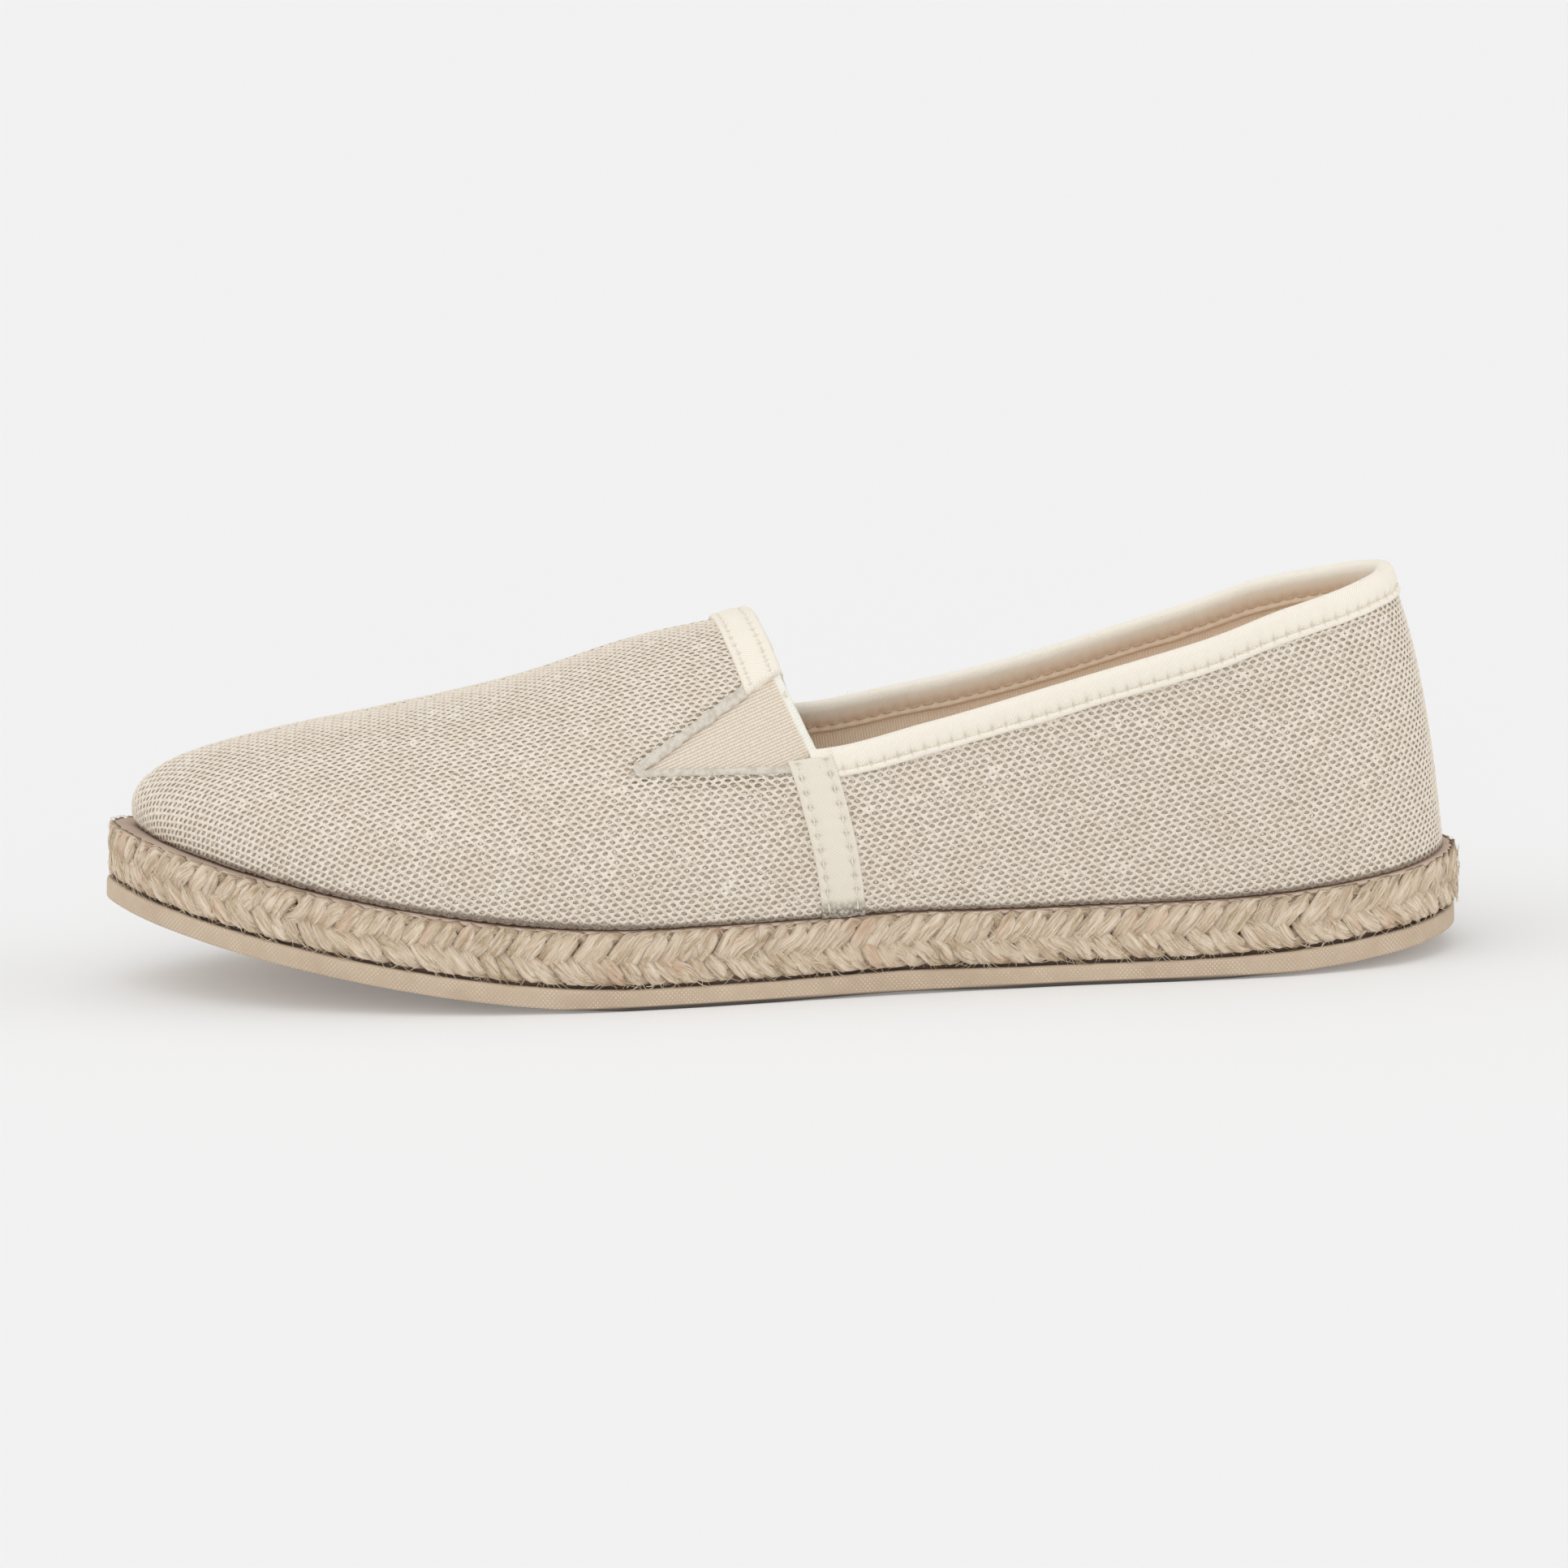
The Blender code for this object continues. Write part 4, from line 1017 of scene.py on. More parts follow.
def add_net(name, cloth, keep, material):
    """Mesh cloth: a ring of web round each hole, raised between the holes and turned down into them."""
    centres = net_cells(cloth)
    places, miss = cloth.lay(centres)
    centres = centres[(miss < ROW_SPACING) & keep(places)]
    count = len(centres)
    random = np.random.default_rng(count)
    turn = np.arange(HOLE_SIDES) * 2 * np.pi / HOLE_SIDES
    circle = np.stack([np.cos(turn), np.sin(turn)], axis=1)
    web, corner, cells = web_corners(centres, circle)
    lip = hole_lips(centres, circle, random)
    dimple = np.isin(corner, (2, 6)) + 0.4 * np.isin(corner, (0, 4))
    crest = WEB_CREST - WEB_DIMPLE * dimple + CREST_SPREAD * random.standard_normal(len(web))
    heights = np.concatenate([crest, np.full(len(lip), WEB_LIP), np.full(len(lip), WEB_BACK)])
    # painted shade: darker down into the holes and at the web's dimples
    depths = np.concatenate([0.8 * dimple, np.full(len(lip), 0.3), np.ones(len(lip))])
    flat = np.concatenate([web, lip, lip])
    places, miss = cloth.lay(flat)
    share, climb = places.T
    points = face(share, climb, NET_OUT + heights)
    own = np.arange(len(lip)).reshape(count, HOLE_SIDES) + len(web)
    rings = np.concatenate([cells, own, own + len(lip)], axis=1)
    faces = rings[:, grid_faces(3, HOLE_SIDES, wrap_columns=True)[:, ::-1]].reshape(-1, 4)
    faces = faces[(miss[faces] < 1e-3).any(axis=1)]
    used, faces = np.unique(faces, return_inverse=True)
    tones = [random.random(len(web))]
    tones += [np.repeat(random.random(count), HOLE_SIDES) for _ in ("lip", "back")]
    above = upper_point(share, climb)[:, 2] - upper_point(share, 0.0)[:, 2]
    # painted shade: into the holes and dimples, and just above the sole
    shades = {"deep": depths, "tone": np.concatenate(tones), "foot": above / FOOT_SHADE}
    shades = {name: values[used] for name, values in shades.items()}
    return add_piece(name, points[used], [faces.reshape(-1, 4)], material, flat[used], shades)


def outside_notch(clearance):
    """A test for places: true where they are more than a clearance outside the gore's notch."""
    apex, low, high = map(np.array, (NOTCH_APEX, NOTCH_LOW, NOTCH_HIGH))

    def test(places):
        at = upper_point(places[:, 0], places[:, 1])[:, [0, 2]]
        far = []
        for end, sign in ((low, 1.0), (high, -1.0)):
            far.append(sign * turned_from(at - apex, unit(end - apex)))
        inside = (far[0] > -clearance) & (far[1] > -clearance) & (np.abs(places[:, 0]) >= THROAT_SHARE)
        return ~inside

    return test


# -------- lines and sections on the upper


def measured(points):
    """Distances along a line of world points, in millimetres."""
    return summed(np.linalg.norm(np.diff(points, axis=0), axis=-1) / MM)


def grid_uv(points):
    """Coordinates of a grid of world points in millimetres: mean distance along it, distance across it."""
    ahead = np.linalg.norm(np.diff(points, axis=0), axis=-1).mean(axis=1) / MM
    beside = np.linalg.norm(np.diff(points, axis=1), axis=-1) / MM
    v = np.concatenate([np.zeros((len(points), 1)), np.cumsum(beside, axis=1)], axis=1)
    return np.stack(np.broadcast_arrays(summed(ahead)[:, None], v), axis=-1)


def over_edge(side_share, climb, down, out, way):
    """World point at a distance down from an edge of the upper, or past the edge when that is negative.

    way is the unit step of (side share, climb) that leads down from the edge.
    """
    across, upward = along(side_share, climb)
    lead = across * np.asarray(way[0])[..., None] + upward * np.asarray(way[1])[..., None]
    stretch = np.linalg.norm(lead, axis=-1) / MM
    inside, past = np.maximum(down, 0.0), np.maximum(-down, 0.0)
    point = face(side_share + way[0] * inside / stretch, climb + way[1] * inside / stretch, out)
    return point - unit(lead) * (past * MM)[..., None]


def add_tape(name, points, material, slot, uv=None, **shades):
    """A closed solid from rings of points: one ring per step along the tape."""
    rows, ring = points.shape[:2]
    around = np.arange(ring)
    faces = [grid_faces(rows, ring, wrap_columns=True), np.array([around, (rows - 1) * ring + around[::-1]])]
    return add_piece(name, points, faces, material, grid_uv(points) if uv is None else uv, shades)


def stitch_pull(turns):
    """How hard a stitch row pulls the tape in: 1 where the thread goes through, 0 halfway between."""
    return 0.5 + 0.5 * np.cos(2 * np.pi * turns)


def hole_shade(held, pull):
    """Painted shade: dark spots in a stitch row's groove, where the thread goes through the tape."""
    return held * np.clip((pull - 0.8) / 0.2, 0, 1)


def add_stitches(name, place, length, pitch, thread, share=0.74, radius=STITCH_RADIUS):
    """A row of stitches: place gives world points for distances along it and heights, share is how
    much of the pitch a stitch takes up.
    """
    count = max(1, round(length / pitch))
    pitch = length / count
    turn = np.linspace(0.0, 1.0, STITCH_STEPS)
    starts = (np.arange(count) + (1 - share) / 2) * pitch
    at = starts[:, None] + turn * share * pitch
    lift = np.sin(np.pi * turn) ** 0.6 * (STITCH_SINK + 0.6 * radius) - STITCH_SINK
    lift = np.broadcast_to(lift, at.shape)
    paths = place(at, lift)
    up = unit(place(at, lift + 1.0) - paths)
    plump = radius * (0.7 + 0.3 * np.sin(np.pi * turn) ** 0.5)
    points, faces = tubes(paths, np.broadcast_to(plump * MM, at.shape), up, STITCH_SIDES)
    return add_piece(name, points, faces, thread)


# -------- cloth of the upper


def vamp_cloth():
    """The vamp in one piece: medial half below climb 1, lateral half above it, joined round the toe."""
    shares = np.linspace(THROAT_SHARE, 1.0, VAMP_GRID[0])[:, None]
    middle = VAMP_GRID[1] // 2
    return Cloth(shares, np.linspace(0.0, 2.0, VAMP_GRID[1])[None, :], (0, middle), (36, middle))


def quarter_cloth():
    """The quarters in one piece round the heel."""
    shares = np.linspace(-THROAT_SHARE, THROAT_SHARE, QUARTER_GRID[0])
    climbs = collar_climb(shares)[:, None] * np.linspace(0.0, 1.0, QUARTER_GRID[1])
    return Cloth(shares[:, None], climbs, (0, 8), (QUARTER_GRID[0] - 1, 8))


def add_nets(material):
    clear = outside_notch(0.5)
    vamp, quarter = vamp_cloth(), quarter_cloth()
    add_net("vamp_mesh_lateral", vamp, lambda places: clear(places) & (places[:, 1] > 1), material)
    add_net("vamp_mesh_medial", vamp, lambda places: clear(places) & (places[:, 1] <= 1), material)
    add_net("quarter_mesh_lateral", quarter, lambda places: places[:, 0] < 0, material)
    add_net("quarter_mesh_medial", quarter, lambda places: places[:, 0] >= 0, material)


def add_lining(name, side_share, climb, materials, folded=False):
    """A panel of the lining: its outer face shows through the mesh, and its inner face is ribbed.

    A folded panel is joined to itself along its last row, at the toe.
    """
    places = np.stack(np.broadcast_arrays(side_share, climb), axis=-1)
    clear = outside_notch(1.2)(places.reshape(-1, 2)).reshape(places.shape[:2])
    outer = face(side_share, climb, np.where(clear, LINING_OUT, LINING_OUT - UNDER_GORE))
    inner = face(side_share, climb, -WALL)
    rows, columns = outer.shape[:2]
    walls = grid_faces(rows, columns)
    size = rows * columns
    index = np.arange(size).reshape(rows, columns)
    chains = [index[0, ::-1], index[:, 0], index[::-1, -1]]
    if not folded:
        chains.append(index[-1])
    edges = [np.stack([line[1:], line[:-1], line[:-1] + size, line[1:] + size], axis=1) for line in chains]
    edge = np.concatenate(edges)
    faces = [walls, walls[:, ::-1] + size, edge]
    slots = np.repeat([0, 1, 1], [len(walls), len(walls), len(edge)])
    uv = np.concatenate([grid_uv(outer).reshape(-1, 2)] * 2)
    points = np.concatenate([outer.reshape(-1, 3), inner.reshape(-1, 3)])
    return add_piece(name, points, faces, materials, uv, face_slots=slots, weld=folded)


def add_linings(materials):
    shares = np.linspace(-THROAT_SHARE, THROAT_SHARE, 121)[:, None]
    climbs = collar_climb(shares[:, 0])[:, None] * np.linspace(0.0, 1.0, 25)
    quarters = add_lining("quarter_lining", shares, climbs, materials)
    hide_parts("upper")
    shares = THROAT_SHARE + (1 - THROAT_SHARE) * np.linspace(0.0, 1.0, 71)[:, None] ** 1.5
    add_lining("vamp_lining", shares, np.linspace(0.0, 2.0, 80)[None, :], materials, folded=True)


# -------- tapes


class CollarEdge:
    """The collar's raw edge from one side strip to the other, in even steps."""

    def __init__(self):
        stretch = np.linalg.norm(along(THROAT_SHARE, 0.4)[0]) / MM
        end = THROAT_SHARE - COLLAR_END_GAP / stretch
        self.fine = np.linspace(-end, end, COLLAR_SAMPLES)
        self.fine_at = measured(face(self.fine, collar_climb(self.fine)))
        self.length = self.fine_at[-1]
        self.at = np.linspace(0.0, self.length, round(self.length / TAPE_STEP))
        self.share = np.interp(self.at, self.fine_at, self.fine)
        self.climb = collar_climb(self.share)
        self.pitch = self.length / round(self.length / STITCH_PITCH)


def add_collar_tape(edge, material):
    """The cotton tape folded over the collar: its section, pulled in along the stitch rows."""
    at = edge.at
    pull = stitch_pull(at / edge.pitch)
    sag = BINDING_SAG * noise_along(at, 9.0, 11) + BINDING_RIPPLE * noise_along(at, 3.0, 12)
    at_end = np.minimum(at, edge.length - at) < STRIP_WIDTH / 2
    rings, holes, inner = [], [], []
    for down, out, held in BINDING_SECTION:
        holes.append(hole_shade(held, pull))
        inside = out < BINDING_MIDDLE
        # painted bounce light and shade: none at the fold, full lower down the inside face
        inner.append(np.clip((down - 0.2) / 3.0, 0, 1) * inside + 0 * at)
        out = np.where(at_end & (out > 0), BINDING_END_SQUASH * out, out)
        relief = 0.04 * noise_along(at, 2.0, int(50 + 10 * down)) - BINDING_GROOVE * held * pull
        out = out + (-relief if inside else relief)
        rings.append(over_edge(edge.share, edge.climb, down + sag * (down > 2), out, DOWN_RIB))
    points, inner, holes = (np.stack(values, axis=1) for values in (rings, inner, holes))
    tape = add_tape("collar_tape", points, material, "cotton_tape", inner=inner, hole=holes)
    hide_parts("collar_binding")


def add_collar_stitches(edge, materials):
    for name, out_sign, base, thread, radius in COLLAR_STITCHES:

        def place(distance, lift, out_sign=out_sign, base=base):
            share = np.interp(distance, edge.fine_at, edge.fine)
            climb, down = np.interp(share, edge.share, edge.climb), BINDING_STITCH_DOWN + 0 * share
            return over_edge(share, climb, down, base + out_sign * lift, DOWN_RIB)

        piece = f"collar_stitches_{name}"
        add_stitches(piece, place, edge.length, edge.pitch, materials[thread], radius=radius)


def add_collar_fuzz(edge, material):
    """Short curved fibres that stand up from the collar tape's fold."""
    random = np.random.default_rng(21)
    picks = random.integers(0, len(edge.at), COLLAR_FUZZ)
    down = random.uniform(-0.8, 0.5, COLLAR_FUZZ)
    out = random.uniform(-2.0, 0.8, COLLAR_FUZZ)
    starts = over_edge(edge.share[picks], edge.climb[picks], down, out, DOWN_RIB)
    ahead = unit(np.gradient(face(edge.share, edge.climb), axis=0))[picks]
    random = np.random.default_rng(22)
    lean = random.uniform(-1, 1, (COLLAR_FUZZ, 1)) * ahead
    lean = lean + random.uniform(0.3, 1.0, (COLLAR_FUZZ, 1)) * np.array([0.0, 0.0, 1.0])
    lean = unit(lean + 0.3 * random.standard_normal((COLLAR_FUZZ, 3)))
    bend = unit(random.standard_normal((COLLAR_FUZZ, 3)))
    long = FUZZ_LENGTH * random.uniform(0.4, 1.0, (COLLAR_FUZZ, 1, 1)) * MM
    part = np.linspace(-0.1, 1.0, 4)[None, :, None]
    paths = starts[:, None] + long * (part * lean[:, None] + 0.35 * part**2 * bend[:, None])
    taper = np.array([1.0, 0.9, 0.7, 0.3]) * FUZZ_RADIUS * MM
    up = np.broadcast_to(np.array([0.31, 0.43, 0.85]), paths.shape)
    points, faces = tubes(paths, np.broadcast_to(taper, paths.shape[:2]), up, 3)
    return add_piece("collar_fuzz", points, faces, material)


def add_binding(materials):
    edge = CollarEdge()
    add_collar_tape(edge, materials["tape"])
    add_collar_stitches(edge, materials)
    add_collar_fuzz(edge, materials["thread"])


def notch_end_climb(side, down):
    """The climb at which the notch's upper line is met, at a distance ahead of the throat edge."""
    climbs = np.linspace(0.5, 1.0, FINE_STEPS)
    across, _ = along(side * THROAT_SHARE, 0.8)
    share = side * (THROAT_SHARE + max(down, 0.0) * MM / np.linalg.norm(across))
    apex = np.array(NOTCH_APEX)
    below = turned_from(upper_point(share, climbs)[:, [0, 2]] - apex, unit(NOTCH_HIGH - apex))
    return np.interp(TAB_OVERHANG, below, climbs)


def tab_climb(turn, down):
    """The climb at a share of the way from the ridge, at 0, to the tab's lateral or medial end."""
    ends = {side: notch_end_climb(side, down) for side in (LATERAL, MEDIAL)}
    return 1.0 - np.abs(turn) * (1.0 - np.where(turn < 0, ends[LATERAL], ends[MEDIAL]))


def tab_shift(turn):
    """How far ahead of the throat's edge the tab lies, more on one side so that both edges line up."""
    far = np.abs(turn)
    ease = np.clip(far / 0.15, 0, 1) * np.clip((1 - far) / 0.35, 0, 1)
    return np.where(turn < 0, TAB_SHIFT[LATERAL], TAB_SHIFT[MEDIAL]) * ease


def add_tab_tape(material):
    """The tape folded over the throat's edge, its ends cut along the gores."""
    turns = np.concatenate([-TAB_TURNS[::-1], TAB_TURNS[1:]])
    side = np.where(turns < 0, LATERAL, MEDIAL)
    edge = 1.0 - np.abs(turns)
    close = np.sqrt(np.clip(1 - (1 - np.clip(edge / TAB_END_ROUND, 0, 1)) ** 2, 0, 1))
    pull = stitch_pull(turns * TAB_STITCHES)
    middle = -WALL / 2
    rings, holes = [], []
    for down, out, held in TAB_SECTION:
        climb = tab_climb(turns, down)
        thick = middle + (out - TAB_GROOVE * held * pull - middle) * (0.35 + 0.65 * close)
        sway = 0.08 * noise_along(np.arange(len(turns)) * 1.0, 6.0, int(70 + 10 * out))
        lower = down + tab_shift(turns) + sway
        rings.append(over_edge(side * THROAT_SHARE, climb, lower, thick, (side, 0.0 * side)))
        holes.append(hole_shade(held, pull))
    points, holes = (np.stack(values, axis=1)[:, ::-1] for values in (rings, holes))
    tape = add_tape("throat_tape", points, material, "cotton_tape", hole=holes)
    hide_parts("vamp_tab")


def add_tab_stitches(thread):
    """Two stitch rows along the tab, and a short one across each of its ends."""
    for name, down in TAB_ROWS:

        def place(distance, lift, down=down):
            turn = distance / TAB_LENGTH * (2 * TAB_STITCHED) - TAB_STITCHED
            side = np.where(turn < 0, LATERAL, MEDIAL)
            lower, way = down + tab_shift(turn), (side, 0.0 * side)
            return over_edge(side * THROAT_SHARE, tab_climb(turn, down), lower, TAB_OUT + lift, way)

        add_stitches(f"throat_stitches_{name}", place, TAB_LENGTH, STITCH_PITCH, thread)
    for name, side in SIDE_NAMES:

        def place(distance, lift, side=side):
            down = TAB_ROWS[0][1] + distance
            ends = np.interp(down, TAB_DOWNS, [notch_end_climb(side, each) for each in TAB_DOWNS])
            climb = 1.0 - (1.0 - ends) * TAB_STITCHED
            return over_edge(side * THROAT_SHARE, climb, down, TAB_OUT + lift, (side, 0.0))

        length = TAB_ROWS[1][1] - TAB_ROWS[0][1]
        add_stitches(f"throat_stitches_{name}", place, length, length / 2, thread)


def seam_place(side, height, beside):
    """Side share and climb at a height on a side seam, and a distance in front of it."""
    seam = side * THROAT_SHARE
    climbs = np.linspace(0.0, 0.8, FINE_STEPS)
    heights = upper_point(seam, climbs)[:, 2]
    stretch = np.linalg.norm(along(seam, climbs)[0], axis=-1) / MM
    climb = np.interp(height, heights, climbs)
    return seam + side * beside / np.interp(height, heights, stretch), climb


def add_strip_tape(name, side, material):
    """The tape down a side seam: raised lips at its sides, and a darker, greyish foot."""
    steps = round((STRIP_TOP - STRIP_FOOT) / TAPE_STEP)
    height = np.linspace(STRIP_FOOT - STRIP_SPARE, STRIP_TOP + STRIP_SPARE, steps)
    pull = stitch_pull((height - STRIP_FOOT) / STRIP_PITCH)
    top = np.clip((height[-1] - height) / 0.7, 0, 1)
    close = 0.25 + 0.75 * np.sqrt(1 - (1 - top) ** 2)
    bar = np.exp(-(((STRIP_TOP - STRIP_BAR_DOWN - height) / STRIP_BAR_WIDTH) ** 2))
    rings, holes = [], []
    for beside, out, held in STRIP_SECTION:
        holes.append(hole_shade(held, pull))
        sway = 0.08 * noise_along(height, 5.0, int(90 + beside))
        groove = held * (STRIP_GROOVE * pull + BAR_GROOVE * bar)
        lifted = out - groove + 0.05 * noise_along(height, 3.0, int(97 + beside))
        share, climb = seam_place(side, height, beside + sway)
        rings.append(face(share, climb, np.where(out > 0.2, lifted * close, out)))
    dirt = np.clip((STRIP_FOOT + DARK_FOOT_TOP - height) / DARK_FOOT_FADE, 0, 1)[:, None] * np.ones(len(rings))
    points, holes = (np.stack(values, axis=1)[:, :: int(-side)] for values in (rings, holes))
    tape = add_tape(f"seam_tape_{name}", points, material, "cotton_tape", dirt=dirt, hole=holes)
    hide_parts(f"side_strip_{name}")


def add_strip_stitches(name, side, thread):
    """The rows down a side seam's tape, and the short one across its top."""
    for row, beside in STRIP_ROWS:

        def place(distance, lift, beside=beside):
            share, climb = seam_place(side, STRIP_FOOT + 0.6 + distance, beside)
            return face(share, climb, STRIP_STITCH_OUT + lift)

        length = STRIP_TOP - STRIP_FOOT - 2.2
        add_stitches(f"seam_stitches_{name}_{row}", place, length, STRIP_PITCH, thread)

    def across(distance, lift):
        height = STRIP_TOP - STRIP_BAR_DOWN + 0 * distance
        share, climb = seam_place(side, height, distance - STRIP_BAR_LENGTH / 2)
        return face(share, climb, STRIP_BAR_OUT + lift)

    add_stitches(f"seam_stitches_{name}_top", across, STRIP_BAR_LENGTH, STRIP_PITCH, thread)


# -------- gores and the mesh edges round them


def side_line(side, start, end, count):
    """A line on the cloth that is straight in the side view: its points, normals and ways beside it."""
    part = np.linspace(0.0, 1.0, count)[:, None]
    line = np.array(start) * (1 - part) + np.array(end) * part
    share, climb = place_of(side, line[:, 0], line[:, 1])
    centre = face(share, climb)
    normal = unit(face(share, climb, 1.0) - centre)
    beside = unit(np.cross(normal, unit(np.gradient(centre, axis=0)))) * -side
    return centre, normal, beside


def add_gore(name, side, material):
    """The elastic wedge: a thin woven sheet that runs on under the mesh's turned edges."""
    apex = np.array(GORE_APEX)
    low, high = (upper_point(*seam_place(side, *end))[[0, 2]] for end in (GORE_LOW, GORE_HIGH))
    along_it = np.linspace(GORE_START, 1.0, GORE_GRID[0])[:, None, None]
    across_it = np.linspace(0.0, 1.0, GORE_GRID[1])[None, :, None]
    spots = apex + along_it * ((1 - across_it) * (low - apex) + across_it * (high - apex))
    share, climb = place_of(side, spots[..., 0], spots[..., 1])
    puff = GORE_PUFF * np.sin(np.pi * across_it[..., 0]) * along_it[..., 0]
    outer = face(share, climb, GORE_OUT + puff)
    inner = face(share, climb, GORE_OUT - GORE_THICK + puff)
    edge = np.clip((along_it[..., 0] - SELVEDGE) / 0.004, 0, 1) * np.ones(share.shape)
    uv = np.stack([-spots[..., 0], spots[..., 1]], axis=-1)
    rings, uv, edge = (
        np.concatenate([front, back[:, ::-1]], axis=1)[:, :: int(-side)]
        for front, back in ((outer, inner), (uv, uv), (edge, edge))
    )
    gore = add_tape(f"elastic_{name}", rings, material, "elastic", uv=uv, selvedge=edge)
    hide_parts(f"gore_{name}")


def add_turned_edge(name, side, line, width, height, shift, seed, material):
    """The mesh's edge turned under along one side of a gore: a soft, uneven welt."""
    centre, normal, beside = side_line(side, *line, EDGE_STEPS)
    at = measured(centre)
    turn = np.arange(EDGE_SIDES) * 2 * np.pi / EDGE_SIDES
    ends = np.sqrt(np.clip(np.minimum(at, at[-1] - at) / 1.2, 0.05, 1))
    wide = width / 2 * (1 + EDGE_UNEVEN[0] * noise_along(at, 2.2, seed)) * ends
    tall = height * (1 + EDGE_UNEVEN[1] * noise_along(at, 1.6, seed + 1)) * ends
    lumps = 1 + EDGE_UNEVEN[2] * noise_along(at, 0.9, seed + 2, EDGE_SIDES).T
    sideways = (shift + wide[:, None] * np.cos(turn) * lumps)[..., None] * beside[:, None]
    upwards = (0.05 + tall[:, None] * np.sin(turn) * lumps)[..., None] * normal[:, None]
    points = centre[:, None] + (sideways + upwards) * MM
    return add_tape(name, points[:, :: int(side)], material, "mesh_cloth")


def add_notch_edges(name, side, materials):
    """The turned mesh edges above and below a gore, with their stitches."""
    for edge, sizes in TURNED_EDGES.items():
        add_turned_edge(f"turned_edge_{name}_{edge}", side, *sizes, materials["turned_edge"])
    for row, (line, shift, pitch) in NOTCH_STITCHES.items():
        frames = side_line(side, *line, 60)
        at = measured(frames[0])

        def place(distance, lift, at=at, frames=frames, shift=shift):
            centre, normal, beside = (between(distance, at, values) for values in frames)
            return centre + (shift * beside + (0.2 + lift)[..., None] * normal) * MM

        piece = f"notch_stitches_{name}_{row}"
        add_stitches(piece, place, at[-1], pitch, materials["dark_thread"], 0.62, 0.13)


# -------- the sole


BRAID_PITCH = PERIMETER / BRAID_REPEATS


def sole_place(walk, out, height):
    """World point at a distance round the sole, a distance outside its outline and a height in it."""
    walk, out, height = np.broadcast_arrays(np.asarray(walk, float) % PERIMETER, out, height)
    flat = between(walk, WALK, WALK_POINTS) + out[..., None] * unit(between(walk, WALK, WALK_OUT))
    return to_world(on_sole(np.concatenate([flat, height[..., None]], axis=-1)))


def tuck_at(walk):
    """The rubber's extra inset round the heel."""
    share = np.minimum(walk, PERIMETER - walk) / (PERIMETER / 2)
    return HEEL_TUCK * np.clip(1 - share / HEEL_TUCK_SHARE, 0, None)


def add_sole_ring(name, profile, material, tucked=False, wobble=0.0, seed=0):
    """A closed ring round the sole from a closed profile of (out, height) rows, walked upwards outside."""
    walk = np.linspace(0.0, PERIMETER, round(PERIMETER / RING_STEP), endpoint=False)
    out, height = np.array(profile).T
    inset = tuck_at(walk)[:, None] if tucked else 0.0
    drift = wobble * noise_along(walk, 7.0, seed)[:, None] * np.sin(np.pi * walk / PERIMETER)[:, None]
    points = sole_place(walk[:, None], out - inset, height + drift)[:, ::-1]
    faces = [grid_faces(*points.shape[:2], wrap_rows=True, wrap_columns=True)]
    # Painted contact shadow: how near the floor each point is, for the dotted rubber
    shades = {"under": np.clip((CONTACT_SHADE_FROM - points[..., 2] / MM) / CONTACT_SHADE_OVER, 0, 1)}
    return add_piece(name, points, faces, material, uv=grid_uv(points), shades=shades)


def braid_height(turn):
    """A strand's height as it crosses the braid and comes back: a triangular wave with round corners."""
    least = math.acos(TURN_SHARPNESS) / math.pi
    rise = (np.arccos(TURN_SHARPNESS * np.cos(np.pi * turn)) / np.pi - least) / (1 - 2 * least)
    low, high = BRAID_CENTRES
    return low + (high - low) * np.clip(rise, 0.0, 1.0) ** BRAID_LEAN


def braid_depth(turn):
    """Over two and under two: 1 where a strand runs in from an edge, -1 where it runs out to one."""
    return np.tanh(2.2 * np.sin(2 * np.pi * turn))


def strand_line(strand, walk):
    """A strand's middle line: distance round the sole, height and depth off the braid's mean plane."""
    turn = 2 * (walk / BRAID_PITCH + strand / BRAID_STRANDS)
    return np.stack([walk, braid_height(turn), BRAID_WEAVE * braid_depth(turn)], axis=-1)


def strand_ring(strand, walk, around, seed):
    """A strand's skin: distances round the sole, heights, distances out, and how deep its grooves are, for
    painted shade in them.
    """
    stray = noise_along(walk, 3.0, seed + 3, 3)
    line = strand_line(strand, walk + STRAND_STRAY[0] * stray[0])
    line[:, 0] = walk
    line[:, 1] += STRAND_STRAY[1] * stray[1]
    line[:, 2] += STRAND_STRAY[2] * stray[2]
    over = 0.5 + 0.5 * line[:, 2] / BRAID_WEAVE
    ahead = unit(np.gradient(line[:, :2], axis=0))
    beside = np.stack([-ahead[:, 1], ahead[:, 0]], axis=-1)
    leaf = noise_along(walk, BRAID_PITCH / 4, seed, 2)
    wide = (BRAID_WIDTH[0] + (BRAID_WIDTH[1] - BRAID_WIDTH[0]) * over) / 2 * (1 + 0.10 * leaf[0])
    thick = (BRAID_THICK[0] + (BRAID_THICK[1] - BRAID_THICK[0]) * over) / 2 * (1 + 0.12 * leaf[1])
    fibres = noise_along(walk, 4.0, seed + 1, len(around)).T
    twist = 0.22 * fibres + 0.12 * noise_along(walk, 1.3, seed + 2, len(around)).T
    side = wide[:, None] * np.cos(around) * (1 + 0.25 * twist)
    rise = thick[:, None] * np.sign(np.sin(around)) * np.abs(np.sin(around)) ** 0.6 * (1 + twist)
    walks = line[:, :1] + side * beside[:, :1]
    heights = np.clip(line[:, 1:2] + side * beside[:, 1:], *BRAID_LIMITS)
    outs = line[:, 2:] + rise - BRAID_INSET
    return walks, heights, outs, np.clip(-1.6 * twist, 0, 0.8)


